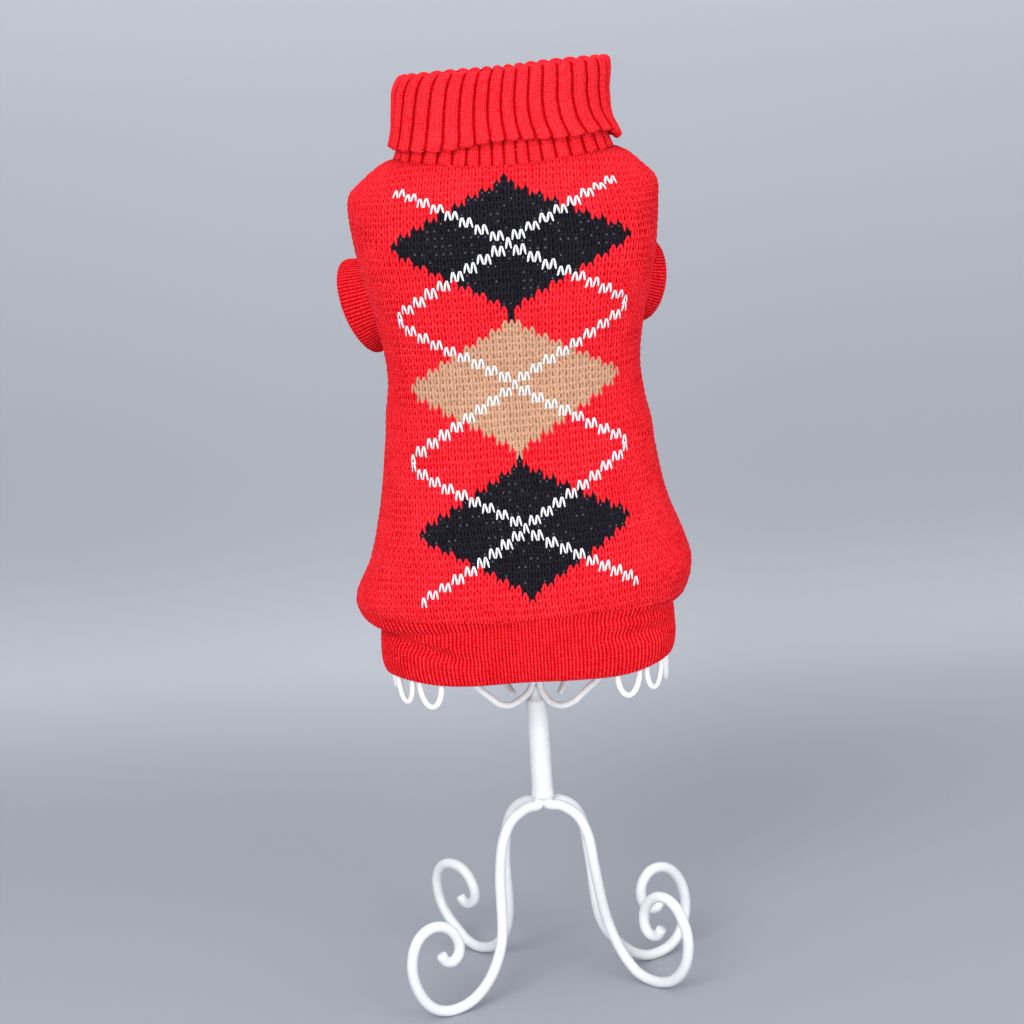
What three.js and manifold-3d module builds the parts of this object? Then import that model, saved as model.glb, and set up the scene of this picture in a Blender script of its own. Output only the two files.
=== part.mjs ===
// A knitted dog sweater with a roll collar, worn by a small wire dress form that stands on four scrolled legs.
// Millimetres, +Z up, the argyle side of the sweater faces -Y, and the feet stand on z = 0.
// The sweater is six pieces of cloth: back, belly, roll collar, hem band and two leg cuffs.
import * as THREE from "three";
import Module from "manifold-3d";

const wasm = await Module();
wasm.setup();

// Driving sizes.
const CLOTH = 2.3; // thickness of the knitted wall
const SEAM_GAP = 0.3; // between two pieces that are sewn or welded together
const BODY_POWER = 2.3; // 2 is an ellipse, more is a squarer section
const SIDE_SEAM_DEG = 105; // the back panel ends this far round from the middle of its own side
const COLLAR_RIBS = 38;
const HEM_RIBS = 144;
const CUFF_RIBS = 52;
const RIB_DEPTH = { collar: 1.3, hem: 0.6, cuff: 0.6 };
const WIRE = { foot: 3.0, arm: 1.7, form: 1.5, loop: 1.4 }; // radii of the rods
const HEM_SHIFT = -2.4; // how far the hem band sits sideways
const POST_RADIUS = 5.8;
const POST_BOTTOM = 108.5;
const POST_TOP = 182;
const WIRE_CLEARANCE = 1.0; // from the dress form's wires to the cloth

const rad = THREE.MathUtils.degToRad;
const vec = (x, y, z) => new THREE.Vector3(x, y, z);

// Sections of the sweater's body from the neck down. Each row is one level of the outer face:
// its height at the sides, at the argyle side and at the belly, half its width, its depth each way, and how far
// its middle is shifted sideways.
const BODY = [
  { side: 465.5, front: 462.0, belly: 466.0, half: 54.0, fore: 36.0, aft: 34.0, shift: 0.5 },
  { side: 463.0, front: 457.0, belly: 462.5, half: 63.6, fore: 41.0, aft: 38.0, shift: 0.3 },
  { side: 456.5, front: 449.0, belly: 456.0, half: 74.2, fore: 46.5, aft: 42.5, shift: -0.6 },
  { side: 447.0, front: 440.0, belly: 447.0, half: 81.0, fore: 50.0, aft: 45.5, shift: -1.0 },
  { side: 434.0, front: 429.0, belly: 434.5, half: 81.7, fore: 52.0, aft: 47.5, shift: -1.2 },
  { side: 408.0, front: 407.0, belly: 408.0, half: 79.4, fore: 52.2, aft: 48.6, shift: -0.8 },
  { side: 380.0, front: 379.5, belly: 380.0, half: 71.4, fore: 49.2, aft: 46.2, shift: -0.8 },
  { side: 350.0, front: 350.0, belly: 350.0, half: 67.4, fore: 46.6, aft: 43.6, shift: -1.0 },
  { side: 315.0, front: 315.0, belly: 315.5, half: 71.6, fore: 48.2, aft: 44.5, shift: -0.8 },
  { side: 282.0, front: 282.5, belly: 284.0, half: 76.8, fore: 51.4, aft: 47.5, shift: -0.6 },
  { side: 256.0, front: 257.5, belly: 260.0, half: 84.8, fore: 55.0, aft: 51.0, shift: -0.7 },
  { side: 236.5, front: 239.0, belly: 243.5, half: 91.0, fore: 57.8, aft: 53.8, shift: -2.2 },
  { side: 222.5, front: 227.0, belly: 232.5, half: 87.6, fore: 56.6, aft: 52.4, shift: -3.0 },
  { side: 217.4, front: 222.0, belly: 228.2, half: 80.0, fore: 54.2, aft: 49.8, shift: -2.4 },
];
const BODY_END = BODY.length - 1;
const SHOULDER_END = 4; // the rows down to here are used as they are, and below them two levels for each row
const OUTER_LEVELS = Array.from({ length: 2 * BODY_END - SHOULDER_END + 1 }, (_, i) =>
  i < SHOULDER_END ? i : (i + SHOULDER_END) / 2,
);
const INNER_LEVELS = [0, 1, 2, 3, 4, 5, 6, 7, 8, 9, 10, 10.7, 11.4, 12, 12.5, BODY_END];
const SEAM_TRIM = 0.48; // from the middle of a side seam to each panel, where the body is as deep as it is wide

// Soft troughs and ridges in the body and the hem band. Each has its middle, by angle round the body and height,
// its half length and half width, its slope (mm down for each degree round) and its depth, with minus for a trough.
const FOLDS = [
  { deg: -74, z: 209, long: 30, wide: 5, slope: 0.26, deep: -2.0 },
  { deg: 64, z: 212, long: 24, wide: 4.5, slope: -0.22, deep: -1.9 },
  { deg: 38, z: 207, long: 16, wide: 4, slope: -0.3, deep: -1.1 },
  { deg: -58, z: 262, long: 22, wide: 9, slope: -0.35, deep: 0.9 },
  { deg: 60, z: 268, long: 24, wide: 8, slope: 0.3, deep: 0.9 },
  { deg: -84, z: 330, long: 14, wide: 9, slope: 0.5, deep: 0.8 },
  { deg: 82, z: 318, long: 14, wide: 8, slope: -0.4, deep: 0.8 },
  { deg: -62, z: 441, long: 12, wide: 7, slope: -0.3, deep: 1.0 },
  { deg: 60, z: 438, long: 12, wide: 7, slope: 0.3, deep: 1.0 },
  { deg: 150, z: 300, long: 16, wide: 9, slope: 0.4, deep: 0.8 },
  { deg: -148, z: 340, long: 14, wide: 9, slope: -0.4, deep: 0.8 },
  { deg: 180, z: 262, long: 26, wide: 6, slope: 0, deep: 0.9 },
];

// The value of one column of a section table between its rows, on a smooth curve through them.
function columnAt(table, key, row) {
  const last = table.length - 1;
  const at = Math.min(Math.max(row, 0), last);
  const i = Math.min(Math.floor(at), last - 1);
  const t = at - i;
  const [p0, p1, p2, p3] = [i - 1, i, i + 1, i + 2].map((k) => table[Math.min(Math.max(k, 0), last)][key]);
  const m1 = (p2 - p0) / 2;
  const m2 = (p3 - p1) / 2;
  const t2 = t * t;
  const t3 = t2 * t;
  return p1 * (2 * t3 - 3 * t2 + 1) + m1 * (t3 - 2 * t2 + t) + p2 * (3 * t2 - 2 * t3) + m2 * (t3 - t2);
}

// Distance from the middle to a rounded section in one direction.
function reach(angle, half, fore, aft) {
  const c = Math.cos(angle);
  const s = Math.sin(angle);
  const deep = c > 0 ? fore : aft;
  return (Math.abs(c / deep) ** BODY_POWER + Math.abs(s / half) ** BODY_POWER) ** (-1 / BODY_POWER);
}

// Height of a section that dips or rises towards the front and the belly.
function levelAt(angle, side, front, belly) {
  const c = Math.cos(angle);
  return side + ((c > 0 ? front : belly) - side) * c * c;
}

function foldAt(angle, z) {
  let sum = 0;
  for (const f of FOLDS) {
    const turn = THREE.MathUtils.euclideanModulo(THREE.MathUtils.radToDeg(angle) - f.deg + 180, 360) - 180;
    const along = turn / f.long;
    const across = (z - f.z + f.slope * turn) / f.wide;
    sum += f.deep * Math.exp(-along * along - across * across);
  }
  return sum;
}

// A point of one section, moved outwards by the folds.
function sectionPoint(angle, section) {
  const z = levelAt(angle, section.side, section.front, section.belly);
  const r = reach(angle, section.half, section.fore, section.aft) + foldAt(angle, z);
  return vec(section.shift + r * Math.sin(angle), -r * Math.cos(angle), z);
}

// The body's outer face by angle from the middle of the argyle side and row of the table, which need not be whole.
// The swell above the hem sits lower on the left than on the right.
const SWELL = { z: 236, wide: 24, tilt: 5 };
function bodyOuter(angle, row) {
  const section = Object.fromEntries(Object.keys(BODY[0]).map((key) => [key, columnAt(BODY, key, row)]));
  section.side += SWELL.tilt * Math.sin(angle) * Math.exp(-(((section.side - SWELL.z) / SWELL.wide) ** 2));
  return sectionPoint(angle, section);
}

// The row whose height at the sides is the given one.
function rowAt(z) {
  let [low, high] = [0, BODY_END];
  for (let i = 0; i < 24; i += 1) {
    const middle = (low + high) / 2;
    if (columnAt(BODY, "side", middle) > z) low = middle;
    else high = middle;
  }
  return low;
}

// A surface's point moved against its outward normal, found from its neighbours.
function inset(surface, u, v, depth, vMax) {
  const du = 0.01;
  const dv = 0.04;
  const v0 = Math.max(v - dv, 0);
  const v1 = Math.min(v + dv, vMax);
  const alongU = surface(u + du, v).sub(surface(u - du, v));
  const alongV = surface(u, v1).sub(surface(u, v0));
  const normal = alongV.cross(alongU).normalize();
  return surface(u, v).addScaledVector(normal, -depth);
}

const bodyInset = (angle, row, depth) => inset(bodyOuter, angle, row, depth, BODY_END);

// How far a point is inside the body's outer face, measured level from the middle.
function depthInside(point) {
  const row = rowAt(point.z);
  const x = point.x - columnAt(BODY, "shift", row);
  const face = bodyOuter(Math.atan2(x, -point.y), row);
  face.x -= columnAt(BODY, "shift", row);
  return Math.hypot(face.x, face.y) - Math.hypot(x, point.y);
}

// Triangles between two loops or lines of points that may have different counts.
function zip(a, b, closed, push) {
  const m = closed ? a.length : a.length - 1;
  const n = closed ? b.length : b.length - 1;
  let i = 0;
  let j = 0;
  while (i < m || j < n) {
    const stepA = j >= n || (i < m && (i + 1) / m <= (j + 1) / n);
    const ai = a[i % a.length];
    const bj = b[j % b.length];
    push(ai, bj, stepA ? a[(i + 1) % a.length] : b[(j + 1) % b.length]);
    if (stepA) i += 1;
    else j += 1;
  }
}

// A closed geometry from points and triangles, with its faces turned outwards.
function closedGeometry(points, triangles) {
  let volume = 0;
  for (const [a, b, c] of triangles) volume += points[a].dot(points[b].clone().cross(points[c]));
  const faces = volume < 0 ? triangles.map(([a, b, c]) => [a, c, b]) : triangles;
  const geometry = new THREE.BufferGeometry();
  geometry.setAttribute("position", new THREE.Float32BufferAttribute(points.flatMap((p) => p.toArray()), 3));
  geometry.setIndex(faces.flat());
  return geometry;
}

// A tube wall: loops of points, each joined to the next, and the last to the first.
function ringWall(loops) {
  const points = [];
  const numbered = loops.map((loop) => loop.map((p) => points.push(p) - 1));
  const triangles = [];
  numbered.forEach((loop, k) => {
    zip(loop, numbered[(k + 1) % numbered.length], true, (a, b, c) => triangles.push([a, b, c]));
  });
  return closedGeometry(points, triangles);
}

// A panel wall from two grids of points, the outer face's and the inner face's, closed round its four edges.
// The inner grid can be coarser. Both grids' rows run down, and their points run the same way round.
function panelWall(outerGrid, innerGrid) {
  const points = [];
  const triangles = [];
  const push = (a, b, c) => triangles.push([a, b, c]);
  const outer = outerGrid.map((row) => row.map((p) => points.push(p) - 1));
  const inner = innerGrid.map((row) => row.map((p) => points.push(p) - 1));
  for (let k = 0; k + 1 < outer.length; k += 1) zip(outer[k], outer[k + 1], false, push);
  for (let k = 0; k + 1 < inner.length; k += 1) zip(inner[k + 1], inner[k], false, push);
  zip(inner[0], outer[0], false, push);
  zip(outer.at(-1), inner.at(-1), false, push);
  const start = (grid) => grid.map((row) => row[0]);
  const end = (grid) => grid.map((row) => row.at(-1));
  zip(start(outer), start(inner), false, push);
  zip(end(inner), end(outer), false, push);
  return closedGeometry(points, triangles);
}

// A rod of even section along a line of points. Flat sides face along the reference direction's plane.
function rod(line, radius, sides, reference, closed = false) {
  const count = line.length;
  const loops = line.map((p, i) => {
    const before = closed ? line[(i + count - 1) % count] : line[Math.max(i - 1, 0)];
    const after = closed ? line[(i + 1) % count] : line[Math.min(i + 1, count - 1)];
    const tangent = after.clone().sub(before).normalize();
    const across = reference.clone().addScaledVector(tangent, -reference.dot(tangent)).normalize();
    const up = tangent.clone().cross(across);
    return Array.from({ length: sides }, (_, k) => {
      const turn = (2 * Math.PI * (k + 0.5)) / sides;
      return p.clone().addScaledVector(across, radius * Math.cos(turn)).addScaledVector(up, radius * Math.sin(turn));
    });
  });
  if (closed) return ringWall(loops);
  const points = [];
  const triangles = [];
  const push = (a, b, c) => triangles.push([a, b, c]);
  const numbered = loops.map((loop) => loop.map((p) => points.push(p) - 1));
  for (let k = 0; k + 1 < count; k += 1) zip(numbered[k], numbered[k + 1], true, push);
  const [first, last] = [numbered[0], numbered.at(-1)];
  for (let k = 1; k + 1 < sides; k += 1) {
    push(first[0], first[k], first[k + 1]);
    push(last[0], last[k + 1], last[k]);
  }
  return closedGeometry(points, triangles);
}

const smoothLine = (points, steps) => new THREE.CatmullRomCurve3(points, false, "centripetal").getSpacedPoints(steps);

// Materials.
const knit = (color) => new THREE.MeshStandardMaterial({ color, roughness: 0.9, metalness: 0 });
const RED = knit(0xd8101f);
const RED_RIB = knit(0xcf0d1c);
const PAINT = new THREE.MeshStandardMaterial({ color: 0xf4f4f2, roughness: 0.35, metalness: 0 });

const part = new THREE.Group();
function add(name, geometry, material) {
  const mesh = new THREE.Mesh(geometry, material);
  mesh.name = name;
  part.add(mesh);
  return mesh;
}

// Solids for cutting, from an indexed geometry and back.
function toSolid(geometry) {
  return new wasm.Manifold(
    new wasm.Mesh({
      numProp: 3,
      vertProperties: new Float32Array(geometry.attributes.position.array),
      triVerts: new Uint32Array(geometry.index.array),
    }),
  );
}

function toGeometry(solid) {
  const mesh = solid.getMesh();
  const geometry = new THREE.BufferGeometry();
  geometry.setAttribute("position", new THREE.BufferAttribute(new Float32Array(mesh.vertProperties), 3));
  geometry.setIndex(new THREE.BufferAttribute(new Uint32Array(mesh.triVerts), 1));
  return geometry;
}

// The leg cuffs. Each leaves the side of the body at an angle and a height, and points outwards, back and down.
const CUFFS = [
  { name: "cuff_left", sign: -1, deg: 110, z: 392, yaw: 36, down: 15, reach: 19, tall: 25.5, broad: 17 },
  { name: "cuff_right", sign: 1, deg: 113, z: 393, yaw: 44, down: 13, reach: 15, tall: 22.5, broad: 16 },
];
const CUFF_ROOT = 0.6; // a cuff starts this share of the cloth's thickness inside the body's outer face
const HOLE_SIDES = 40;
const HOLE_REACH = 24; // the leg hole's cutter runs this far in and out along the cuff
const CUFF_SHRINK = 0.9; // the root is this much of the mouth's size
const HOLE_CLEARANCE = 0.4; // from the leg hole's edge to the cuff

// The cuff's own frame: its middle on the body, its axis, and the two directions across it.
function cuffFrame(cuff) {
  const angle = cuff.sign * rad(cuff.deg);
  const middle = bodyInset(angle, rowAt(cuff.z), CLOTH / 2);
  const level = Math.cos(rad(cuff.down));
  const axis = vec(
    cuff.sign * Math.cos(rad(cuff.yaw)) * level,
    Math.sin(rad(cuff.yaw)) * level,
    -Math.sin(rad(cuff.down)),
  );
  const across = vec(0, 0, 1).cross(axis).normalize();
  const up = axis.clone().cross(across);
  return { middle, axis, across, up };
}

// A point of a cuff by its turn round the axis and distance along it, with its size and how far it is set in.
function cuffPoint(cuff, frame, turn, along, shrink, inward) {
  return frame.middle
    .clone()
    .addScaledVector(frame.axis, along)
    .addScaledVector(frame.across, (cuff.broad * shrink - inward) * Math.cos(turn))
    .addScaledVector(frame.up, (cuff.tall * shrink - inward) * Math.sin(turn));
}

const cuffLoop = (cuff, frame, along, shrink, inward, count, ribDepth) =>
  Array.from({ length: count }, (_, k) =>
    cuffPoint(cuff, frame, (2 * Math.PI * k) / count, along, shrink, inward + (k % 2 ? ribDepth : 0)),
  );

// The loop where a cuff is sewn into the body: each point slides along the cuff's axis until it is in the cloth.
function cuffRoot(cuff, frame, inward, count, ribDepth) {
  return Array.from({ length: count }, (_, k) => {
    const at = (along) =>
      cuffPoint(cuff, frame, (2 * Math.PI * k) / count, along, CUFF_SHRINK, inward + (k % 2 ? ribDepth : 0));
    let [low, high] = [-HOLE_REACH, HOLE_REACH / 2];
    for (let i = 0; i < 20; i += 1) {
      const middle = (low + high) / 2;
      if (depthInside(at(middle)) > CLOTH * CUFF_ROOT) low = middle;
      else high = middle;
    }
    return at(low);
  });
}

// A plain bar that fills a cuff and a little more, for cutting the leg hole.
function legHole(cuff, frame) {
  const loop = (along) => cuffLoop(cuff, frame, along, CUFF_SHRINK, -HOLE_CLEARANCE, HOLE_SIDES, 0);
  const points = [...loop(-HOLE_REACH), ...loop(HOLE_REACH)];
  const triangles = [];
  for (let k = 0; k < HOLE_SIDES; k += 1) {
    const next = (k + 1) % HOLE_SIDES;
    const [far, farNext] = [HOLE_SIDES + k, HOLE_SIDES + next];
    triangles.push([k, next, far], [next, farNext, far]);
    if (k > 0 && next > 0) triangles.push([0, next, k], [HOLE_SIDES, far, farNext]);
  }
  return toSolid(closedGeometry(points, triangles));
}

// One panel of the body between two seams, given as angles, with a half gap left at each.
function panel(fromDeg, toDeg, columns) {
  const line = (row, count, depth) =>
    Array.from({ length: count + 1 }, (_, k) => {
      const angle = rad(fromDeg + ((toDeg - fromDeg) * k) / count);
      const trim = (SEAM_TRIM / columnAt(BODY, "half", row)) * (1 - (2 * k) / count);
      return depth ? bodyInset(angle + trim, row, depth) : bodyOuter(angle + trim, row);
    });
  const outer = OUTER_LEVELS.map((row) => line(row, columns, 0));
  const inner = INNER_LEVELS.map((row) => line(row, columns / 2, CLOTH));
  return toSolid(panelWall(outer, inner));
}

function buildBody() {
  let back = panel(-SIDE_SEAM_DEG, SIDE_SEAM_DEG, 38);
  let belly = panel(SIDE_SEAM_DEG, 360 - SIDE_SEAM_DEG, 26);
  for (const cuff of CUFFS) {
    const hole = legHole(cuff, cuffFrame(cuff));
    back = back.subtract(hole);
    belly = belly.subtract(hole);
  }
  add("back_panel", toGeometry(back), RED);
  add("belly_panel", toGeometry(belly), RED);
}

// A cuff starts in the body's cloth and widens to its mouth.
function buildCuff(cuff) {
  const frame = cuffFrame(cuff);
  const fine = 2 * CUFF_RIBS;
  const coarse = CUFF_RIBS / 2;
  const loops = [
    cuffRoot(cuff, frame, 0, fine, RIB_DEPTH.cuff),
    cuffLoop(cuff, frame, cuff.reach * 0.55, CUFF_SHRINK, 0, fine, RIB_DEPTH.cuff),
    cuffLoop(cuff, frame, cuff.reach, 1, 0, fine, RIB_DEPTH.cuff),
    cuffLoop(cuff, frame, cuff.reach, 1, CLOTH, coarse, 0),
    cuffRoot(cuff, frame, CLOTH, coarse, 0),
  ];
  add(cuff.name, ringWall(loops), RED_RIB);
}

// The collar's levels in order round its folded wall: up inside the neck, over the top, down outside, back up
// between the two layers and down the neck's outer face. Ribbed levels show from outside.
const NECK = BODY[0];
const COLLAR = [
  { z: 465.8, half: 51.4, fore: 33.4, aft: 31.4, shift: 0.5, ribbed: false },
  { z: 485.0, half: 50.4, fore: 32.4, aft: 30.6, shift: 0.8, ribbed: false },
  { z: 504.8, half: 49.8, fore: 32.6, aft: 30.8, shift: 2.4, ribbed: false },
  { z: 508.2, half: 51.2, fore: 34.2, aft: 32.4, shift: 3.0, ribbed: true },
  { z: 509.4, half: 53.0, fore: 36.2, aft: 34.4, shift: 3.2, ribbed: true },
  { z: 508.0, half: 55.4, fore: 38.4, aft: 36.6, shift: 3.2, ribbed: true },
  { z: 502.0, half: 57.0, fore: 39.4, aft: 37.6, shift: 2.0, ribbed: true },
  { z: 491.0, half: 57.2, fore: 39.2, aft: 37.2, shift: 0.7, ribbed: true },
  { z: 480.5, half: 57.9, fore: 40.0, aft: 38.0, shift: 0.7, ribbed: true },
  { z: 472.8, half: 59.8, fore: 41.4, aft: 39.4, shift: 1.6, ribbed: true },
  { z: 468.9, half: 60.9, fore: 42.4, aft: 40.4, shift: 1.8, ribbed: true },
  { z: 468.7, half: 58.2, fore: 39.6, aft: 37.6, shift: 1.6, ribbed: false },
  { z: 482.0, half: 55.0, fore: 37.2, aft: 35.2, shift: 0.8, ribbed: false },
  { z: 504.6, half: 53.4, fore: 35.9, aft: 34.1, shift: 2.4, ribbed: false },
  { z: 482.0, half: 53.0, fore: 35.0, aft: 33.2, shift: 0.8, ribbed: false },
  { z: 465.8, half: 54.0, fore: 36.0, aft: 34.0, shift: 0.5, ribbed: true },
];
const COLLAR_TOP = 509.4;
const COLLAR_FALL = 42; // height of the turned-down part
const COLLAR_FAN_DEG = 6; // the ribs spread this far towards the sides at the lower edge
const POINTS_PER_RIB = 3;
// The turned-down edge isn't level: each wave has its middle, half its spread and its drop.
const COLLAR_WAVES = [
  { deg: -48, wide: 26, drop: -3.6 },
  { deg: 12, wide: 34, drop: 2.4 },
  { deg: 82, wide: 18, drop: -1.6 },
  { deg: 165, wide: 50, drop: 1.8 },
];

function collarPoint(level, angle, fanned, rib) {
  const fall = THREE.MathUtils.clamp((COLLAR_TOP - level.z) / COLLAR_FALL, 0, 1);
  const turned = angle + (fanned ? rad(COLLAR_FAN_DEG) * Math.sin(angle) * fall : 0);
  const wave = COLLAR_WAVES.reduce((sum, w) => {
    const turn = THREE.MathUtils.euclideanModulo(THREE.MathUtils.radToDeg(turned) - w.deg + 180, 360) - 180;
    return sum + w.drop * Math.exp(-((turn / w.wide) ** 2));
  }, 0);
  const neckRise = levelAt(turned, NECK.side, NECK.front, NECK.belly) - NECK.side;
  const low = level.z < NECK.side + 1;
  const z = level.z + (low ? neckRise : fanned ? wave * fall ** 2 : 0);
  const r = reach(turned, level.half, level.fore, level.aft) - rib;
  return vec(level.shift + r * Math.sin(turned), -r * Math.cos(turned), z);
}

function buildCollar() {
  const fine = COLLAR_RIBS * POINTS_PER_RIB;
  const foldedFrom = COLLAR.findIndex((l) => l.ribbed);
  const foldedTo = COLLAR.length - 3;
  const loops = COLLAR.map((level, i) => {
    const count = level.ribbed ? fine : fine / 2;
    const fanned = i >= foldedFrom && i < foldedTo;
    const depth = i === COLLAR.length - 1 ? RIB_DEPTH.collar / 2 : RIB_DEPTH.collar;
    return Array.from({ length: count }, (_, k) => {
      const rib = level.ribbed && k % POINTS_PER_RIB === 0 ? depth : 0;
      return collarPoint(level, (2 * Math.PI * k) / count, fanned, rib);
    });
  });
  add("collar", ringWall(loops), RED_RIB);
}

// The hem band's levels, down its outer face and back up inside, as drops below the body's lower edge.
const HEM = [
  { drop: 0.3, half: 79.4, fore: 54.0, aft: 49.6, ribbed: true },
  { drop: 7.0, half: 80.4, fore: 55.2, aft: 50.8, ribbed: true },
  { drop: 19.0, half: 80.6, fore: 55.2, aft: 50.6, ribbed: true },
  { drop: 27.0, half: 78.8, fore: 53.6, aft: 49.0, ribbed: true },
  { drop: 27.2, half: 76.4, fore: 51.4, aft: 46.8, ribbed: false },
  { drop: 14.0, half: 77.9, fore: 52.5, aft: 47.9, ribbed: false },
  { drop: 0.3, half: 76.9, fore: 51.6, aft: 47.2, ribbed: false },
];
const HEM_TALL = 27;
const HEM_TALL_FRONT = 31.5; // the band is deeper in the middle of the argyle side
const HEM_INNER_STEP = 4; // the plain inner face has this many times fewer points

function buildHem() {
  const fine = 2 * HEM_RIBS;
  const loops = HEM.map((level) => {
    const count = level.ribbed ? fine : fine / HEM_INNER_STEP;
    return Array.from({ length: count }, (_, k) => {
      const angle = (2 * Math.PI * k) / count;
      const forward = Math.max(Math.cos(angle), 0) ** 2;
      const drop = level.drop * (1 + (HEM_TALL_FRONT / HEM_TALL - 1) * forward);
      const edge = bodyOuter(angle, BODY_END);
      const z = edge.z - drop;
      const rib = level.ribbed && k % 2 ? RIB_DEPTH.hem : 0;
      const r = reach(angle, level.half, level.fore, level.aft) + foldAt(angle, z + 0.3) - rib;
      return vec(HEM_SHIFT + r * Math.sin(angle), -r * Math.cos(angle), z);
    });
  });
  add("hem_band", ringWall(loops), RED_RIB);
}

// The four legs of the stand. Each comes out of the post's foot, drops from a knee and ends in a scroll that stands
// on the floor. The columns are the knee's and the foot's places, the scroll's compass angle, and its outward lean.
const LEGS = [
  { name: "leg_front_left", knee: [-26.5, -16], foot: [-58.5, -41.7], deg: 205, lean: 0 },
  { name: "leg_front_right", knee: [26, -10.5], foot: [58.0, -21.7], deg: -42, lean: 0.02 },
  { name: "leg_back_left", knee: [-23.5, 15], foot: [-47.8, 49.5], deg: 138, lean: 0.04 },
  { name: "leg_back_right", knee: [24, 11], foot: [60.0, 19.5], deg: 31, lean: 0 },
];
const LEG_START = 4.7; // from the post's middle to where a leg is welded under it
const LEG_SIDES = 8;
const FLOOR_RISE = WIRE.foot * Math.cos(Math.PI / LEG_SIDES); // of a rod's middle when its flat side is on the floor
// The end of the drop, the flat that stands on the floor and the scroll, as distance outwards and height.
// The drop's first points are drawn this share of the way towards the knee, so that the rod bends smoothly.
const DROP = [[-33, 27], [-24, 11], [-14, 4.4], [-5, FLOOR_RISE]];
const KNEE_PULL = [0.45, 0.15, 0, 0];
const SCROLL = [
  [5, FLOOR_RISE], [12.5, 4.8], [18.6, 15], [20.8, 28], [18.5, 40], [12.5, 49.5],
  [3, 53.5], [-5.5, 50.5], [-10.2, 42.5], [-8.6, 34.5], [-3, 31], [2, 33.5],
];

function buildLeg(leg) {
  const out = vec(Math.cos(rad(leg.deg)), Math.sin(rad(leg.deg)), 0);
  const knee = vec(leg.knee[0], leg.knee[1], 0);
  // The legs start under the post's foot, one in each quarter.
  const start = vec(Math.sign(knee.x), Math.sign(knee.y), 0).setLength(LEG_START);
  const under = POST_BOTTOM - WIRE.foot - SEAM_GAP;
  const shoulder = [
    start.clone().setZ(under),
    start.clone().lerp(knee, 0.3).setZ(under - 0.6),
    knee.clone().multiplyScalar(0.7).setZ(under - 6),
    knee.clone().multiplyScalar(0.9).setZ(under - 17),
    knee.clone().setZ(70),
  ];
  const inPlane = ([o, z]) =>
    vec(leg.foot[0], leg.foot[1], z).addScaledVector(out, o + leg.lean * (z - FLOOR_RISE));
  const landing = DROP.map(inPlane).map((p, i) => p.lerp(knee.clone().setZ(p.z), KNEE_PULL[i]));
  const drop = smoothLine([...shoulder, ...landing], 14);
  const scroll = smoothLine(SCROLL.map(inPlane), 13);
  return rod([...drop, ...scroll], WIRE.foot, LEG_SIDES, vec(-out.y, out.x, 0));
}

// The post and the legs at its foot.
function buildStand() {
  const post = new THREE.CylinderGeometry(POST_RADIUS, POST_RADIUS, POST_TOP - POST_BOTTOM, 20);
  post.rotateX(Math.PI / 2);
  add("post", post, PAINT).position.z = (POST_TOP + POST_BOTTOM) / 2;
  for (const leg of LEGS) add(leg.name, buildLeg(leg), PAINT);
}

// The arms dip from the post and rise to the hoop inside the hem. Each row has its angle round the form, and how far
// out its dip starts and ends.
const ARMS = [
  { name: "arm_front_left", deg: -47, dip: [17, 26] },
  { name: "arm_front_right", deg: 48, dip: [19, 31] },
  { name: "arm_back_right", deg: 138, dip: [17, 26] },
  { name: "arm_back_left", deg: -140, dip: [17, 26] },
];
const HOOP = { z: 205, half: 74.4, fore: 49.0, aft: 44.6, shift: HEM_SHIFT };

function hoopPoint(hoop, angle, inward = 0) {
  const r = reach(angle, hoop.half, hoop.fore, hoop.aft) - inward;
  return vec(hoop.shift + r * Math.sin(angle), -r * Math.cos(angle), hoop.z);
}

function buildArm(arm) {
  const angle = rad(arm.deg);
  const end = hoopPoint(HOOP, angle);
  const flat = Math.hypot(end.x, end.y);
  const out = vec(end.x / flat, end.y / flat, 0);
  const at = (r, z) => out.clone().multiplyScalar(r).setZ(z);
  const under = HOOP.z - WIRE.arm * 2 - SEAM_GAP;
  const line = smoothLine(
    [
      at(POST_RADIUS + WIRE.arm + SEAM_GAP, 178),
      at(POST_RADIUS + WIRE.arm + 2.4, 171.5),
      at(arm.dip[0], 166.4),
      at(arm.dip[1], 167.2),
      at(arm.dip[1] * 0.3 + flat * 0.5, 180),
      at(flat - 6, under - 3),
      at(flat - 0.3, under),
    ],
    10,
  );
  add(arm.name, rod(line, WIRE.arm, 6, vec(-out.y, out.x, 0)), PAINT);
}

// Rings of wire inside the uprights, and the loops that hang from the lowest hoop.
const WELD = WIRE.form * 2 + SEAM_GAP;
const RINGS = [
  { name: "waist_ring", z: 350, ease: 0.1 },
  { name: "chest_ring", z: 410, ease: 0.35 },
];
const LOOPS = [-71, -56, 54, 69, 84, 118, -96, -120];
const LOOP = { tall: 13.3, broad: 6.2 };

function ringOf(pointAt, count, radius) {
  const line = Array.from({ length: count }, (_, k) => pointAt((2 * Math.PI * k) / count));
  return rod(line, radius, 6, vec(0, 0, 1), true);
}

function buildLoop(deg, index) {
  const angle = rad(deg);
  const at = hoopPoint(HOOP, angle, 0.4);
  const tangent = hoopPoint(HOOP, angle + 0.02).sub(hoopPoint(HOOP, angle - 0.02)).normalize();
  const drop = WIRE.arm + WIRE.loop + SEAM_GAP + LOOP.tall;
  const line = Array.from({ length: 12 }, (_, k) => {
    const turn = (2 * Math.PI * k) / 12;
    return at
      .clone()
      .addScaledVector(tangent, LOOP.broad * Math.sin(turn))
      .add(vec(0, 0, LOOP.tall * Math.cos(turn) - drop));
  });
  const facing = vec(-tangent.y, tangent.x, 0);
  add(`loop_${index + 1}`, rod(line, WIRE.loop, 5, facing, true), PAINT);
}

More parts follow.
